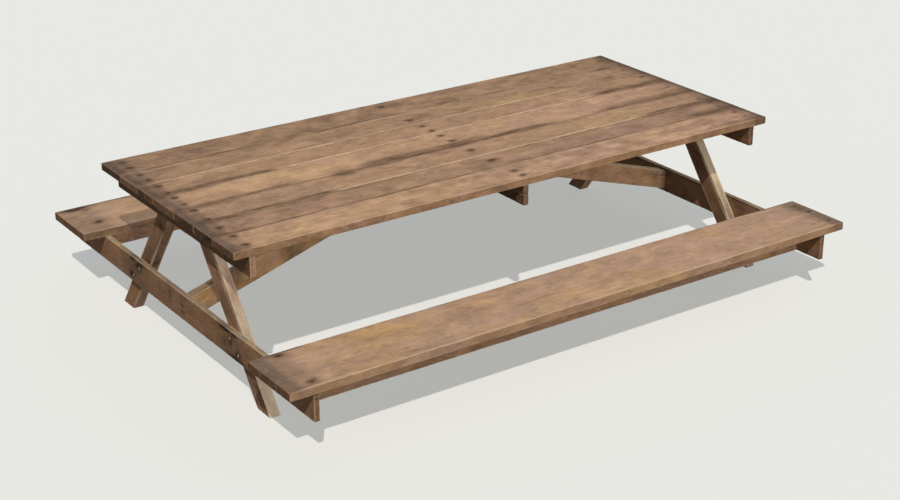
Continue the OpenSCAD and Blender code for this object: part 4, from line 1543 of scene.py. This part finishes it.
trial_paint = paint_board(boards["leg_left_front"], trial_facts, TRIAL_SEED)
print("trial leg, mean paint:", {label: round(float(trial_paint[label].mean()), 3)
                                 for label in ("bleach", "tone", "stain", "wear_and_highlight")})

# %% Make every board
BOARD_LATTICES = {
    # slot: steps along and across in millimetres, and the number of splits
    "top_wood": (12.5, 6.5, 3),
    "bench_wood": (13.0, 7.0, 3),
    "frame_wood": (11.0, 6.5, 1),
}
FIRST_SEED = 100
SEED_STEP = 7
total_triangles = 0
for number, (name, board) in enumerate(boards.items()):
    slot = slot_of(name)
    step, cross_step, splits = BOARD_LATTICES[slot]
    seed = FIRST_SEED + SEED_STEP * number
    points, faces, facts = shape_board(board, seed, step * MM, cross_step * MM, splits)
    painted = paint_board(board, facts, seed)
    piece = board_object(f"sawn_{name}", points, faces, painted, wood_materials[slot])
    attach(piece, "root")
    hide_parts(name)
    total_triangles += 2 * len(faces)
    print(f"{piece.name}: {2 * len(faces)} triangles")
print(f"{total_triangles} triangles in all boards")

# %% [markdown]
# ## Rusted iron
#
# Nails, screws, bolts, washers and nuts have the right shape in the CAD model already, so they stay, and only
# get a finish. Old iron outdoors is nearly black with a rough brown crust, which the node group `rust_bloom`
# makes. The crowns of the bolt heads at the table's two ends get a pale painted highlight. They could be
# painted by hand, but they are what stands out furthest, so the distance along the table finds them.

# %% Iron
CRUST_RANGE = (0.40, 0.62)
GRIT_FINER = 5.0
PATCH_HEIGHT = 0.6
# A pale painted highlight on the crowns of the bolt heads: its colour, its share and how fast it fades in.
PAINTED_GLINT_IRON = colour(196, 174, 152)
PAINTED_GLINT_SHARE = 0.50
PAINTED_GLINT_FADE = 2.0 * MM
CROWN_HEIGHT = 3.0 * MM
IRON_ROUGHNESS = (0.34, 0.70)
IRON_METALLIC = (0.15, 0.0)
CRUST_BUMP_STRENGTH = 0.5
CRUST_BUMP = 0.3 * MM
IRON_GLOSS = 0.25


def rust_bloom_group():
    """Crust of rust: a patchy mask and the small height of its grains."""
    group, given, wanted = new_group(
        "rust_bloom", {"Vector": ("vector", (0.0, 0.0, 0.0)), "Scale": ("value", 400.0)},
        {"Crust": "value", "Height": "value"})
    patches = noise(group, given["Vector"], given["Scale"], 5.0, 0.7)
    grit = noise(group, given["Vector"], calculate(group, "MULTIPLY", given["Scale"], GRIT_FINER), 3.0, 0.6)
    group.links.new(rescale(group, patches, *CRUST_RANGE), wanted["Crust"])
    group.links.new(calculate(group, "MULTIPLY_ADD", patches, PATCH_HEIGHT, grit), wanted["Height"])
    return group


def iron_material(name, metal, crust, scale, glint_from=None):
    """Dark metal under a rough brown crust, and if a distance is given, a pale painted highlight where the
    iron stands further out than that at the table's two ends."""
    made, tree = empty_material(name)
    where = add_node(tree, "ShaderNodeTexCoord").outputs["Object"]
    bloom = add_node(tree, "ShaderNodeGroup", {"node_tree": rust_bloom},
                     {"Vector": where, "Scale": scale}).outputs
    paint = blend(tree, bloom["Crust"], metal, crust)
    if glint_from is not None:
        along = add_node(tree, "ShaderNodeSeparateXYZ", None, {0: where}).outputs[0]
        outward = calculate(tree, "ABSOLUTE", along)
        painted_glint = rescale(tree, outward, glint_from, glint_from + PAINTED_GLINT_FADE, 0.0, PAINTED_GLINT_SHARE)
        paint = blend(tree, painted_glint, paint, PAINTED_GLINT_IRON)
    rough = rescale(tree, bloom["Crust"], 0.0, 1.0, *IRON_ROUGHNESS)
    bare = rescale(tree, bloom["Crust"], 0.0, 1.0, *IRON_METALLIC)
    bump = add_node(tree, "ShaderNodeBump", None,
                    {"Strength": CRUST_BUMP_STRENGTH, "Distance": CRUST_BUMP, "Height": bloom["Height"]})
    shader = add_node(tree, "ShaderNodeBsdfPrincipled", None,
                      {"Base Color": paint, "Roughness": rough, "Metallic": bare,
                       "Specular IOR Level": IRON_GLOSS, "Normal": bump.outputs[0]})
    add_node(tree, "ShaderNodeOutputMaterial", None, {"Surface": shader.outputs[0]})
    return made


crowns = np.abs(mesh_points(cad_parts["frame_bolts"])[:, 0]).max()
rust_bloom = rust_bloom_group()
nail_iron = iron_material("nail_iron", colour(60, 46, 36), colour(68, 48, 34), 500.0)
bolt_iron = iron_material("bolt_iron", colour(60, 50, 43), colour(64, 46, 35), 260.0,
                          glint_from=crowns - CROWN_HEIGHT)
print(f"the bolt heads stand out to x = {crowns:.4f} m")
finishes = {"top_nails": nail_iron, "bench_nails": nail_iron, "rail_screws": nail_iron,
            "brace_screws": nail_iron, "frame_bolts": bolt_iron, "frame_washers": bolt_iron,
            "frame_nuts": bolt_iron}
for name, finish in finishes.items():
    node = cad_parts[name]
    node.data.materials.clear()
    node.data.materials.append(finish)
print(f"iron on {len(finishes)} groups of fasteners")

# %% Finish
bpy.context.scene.view_settings.view_transform = "Standard"
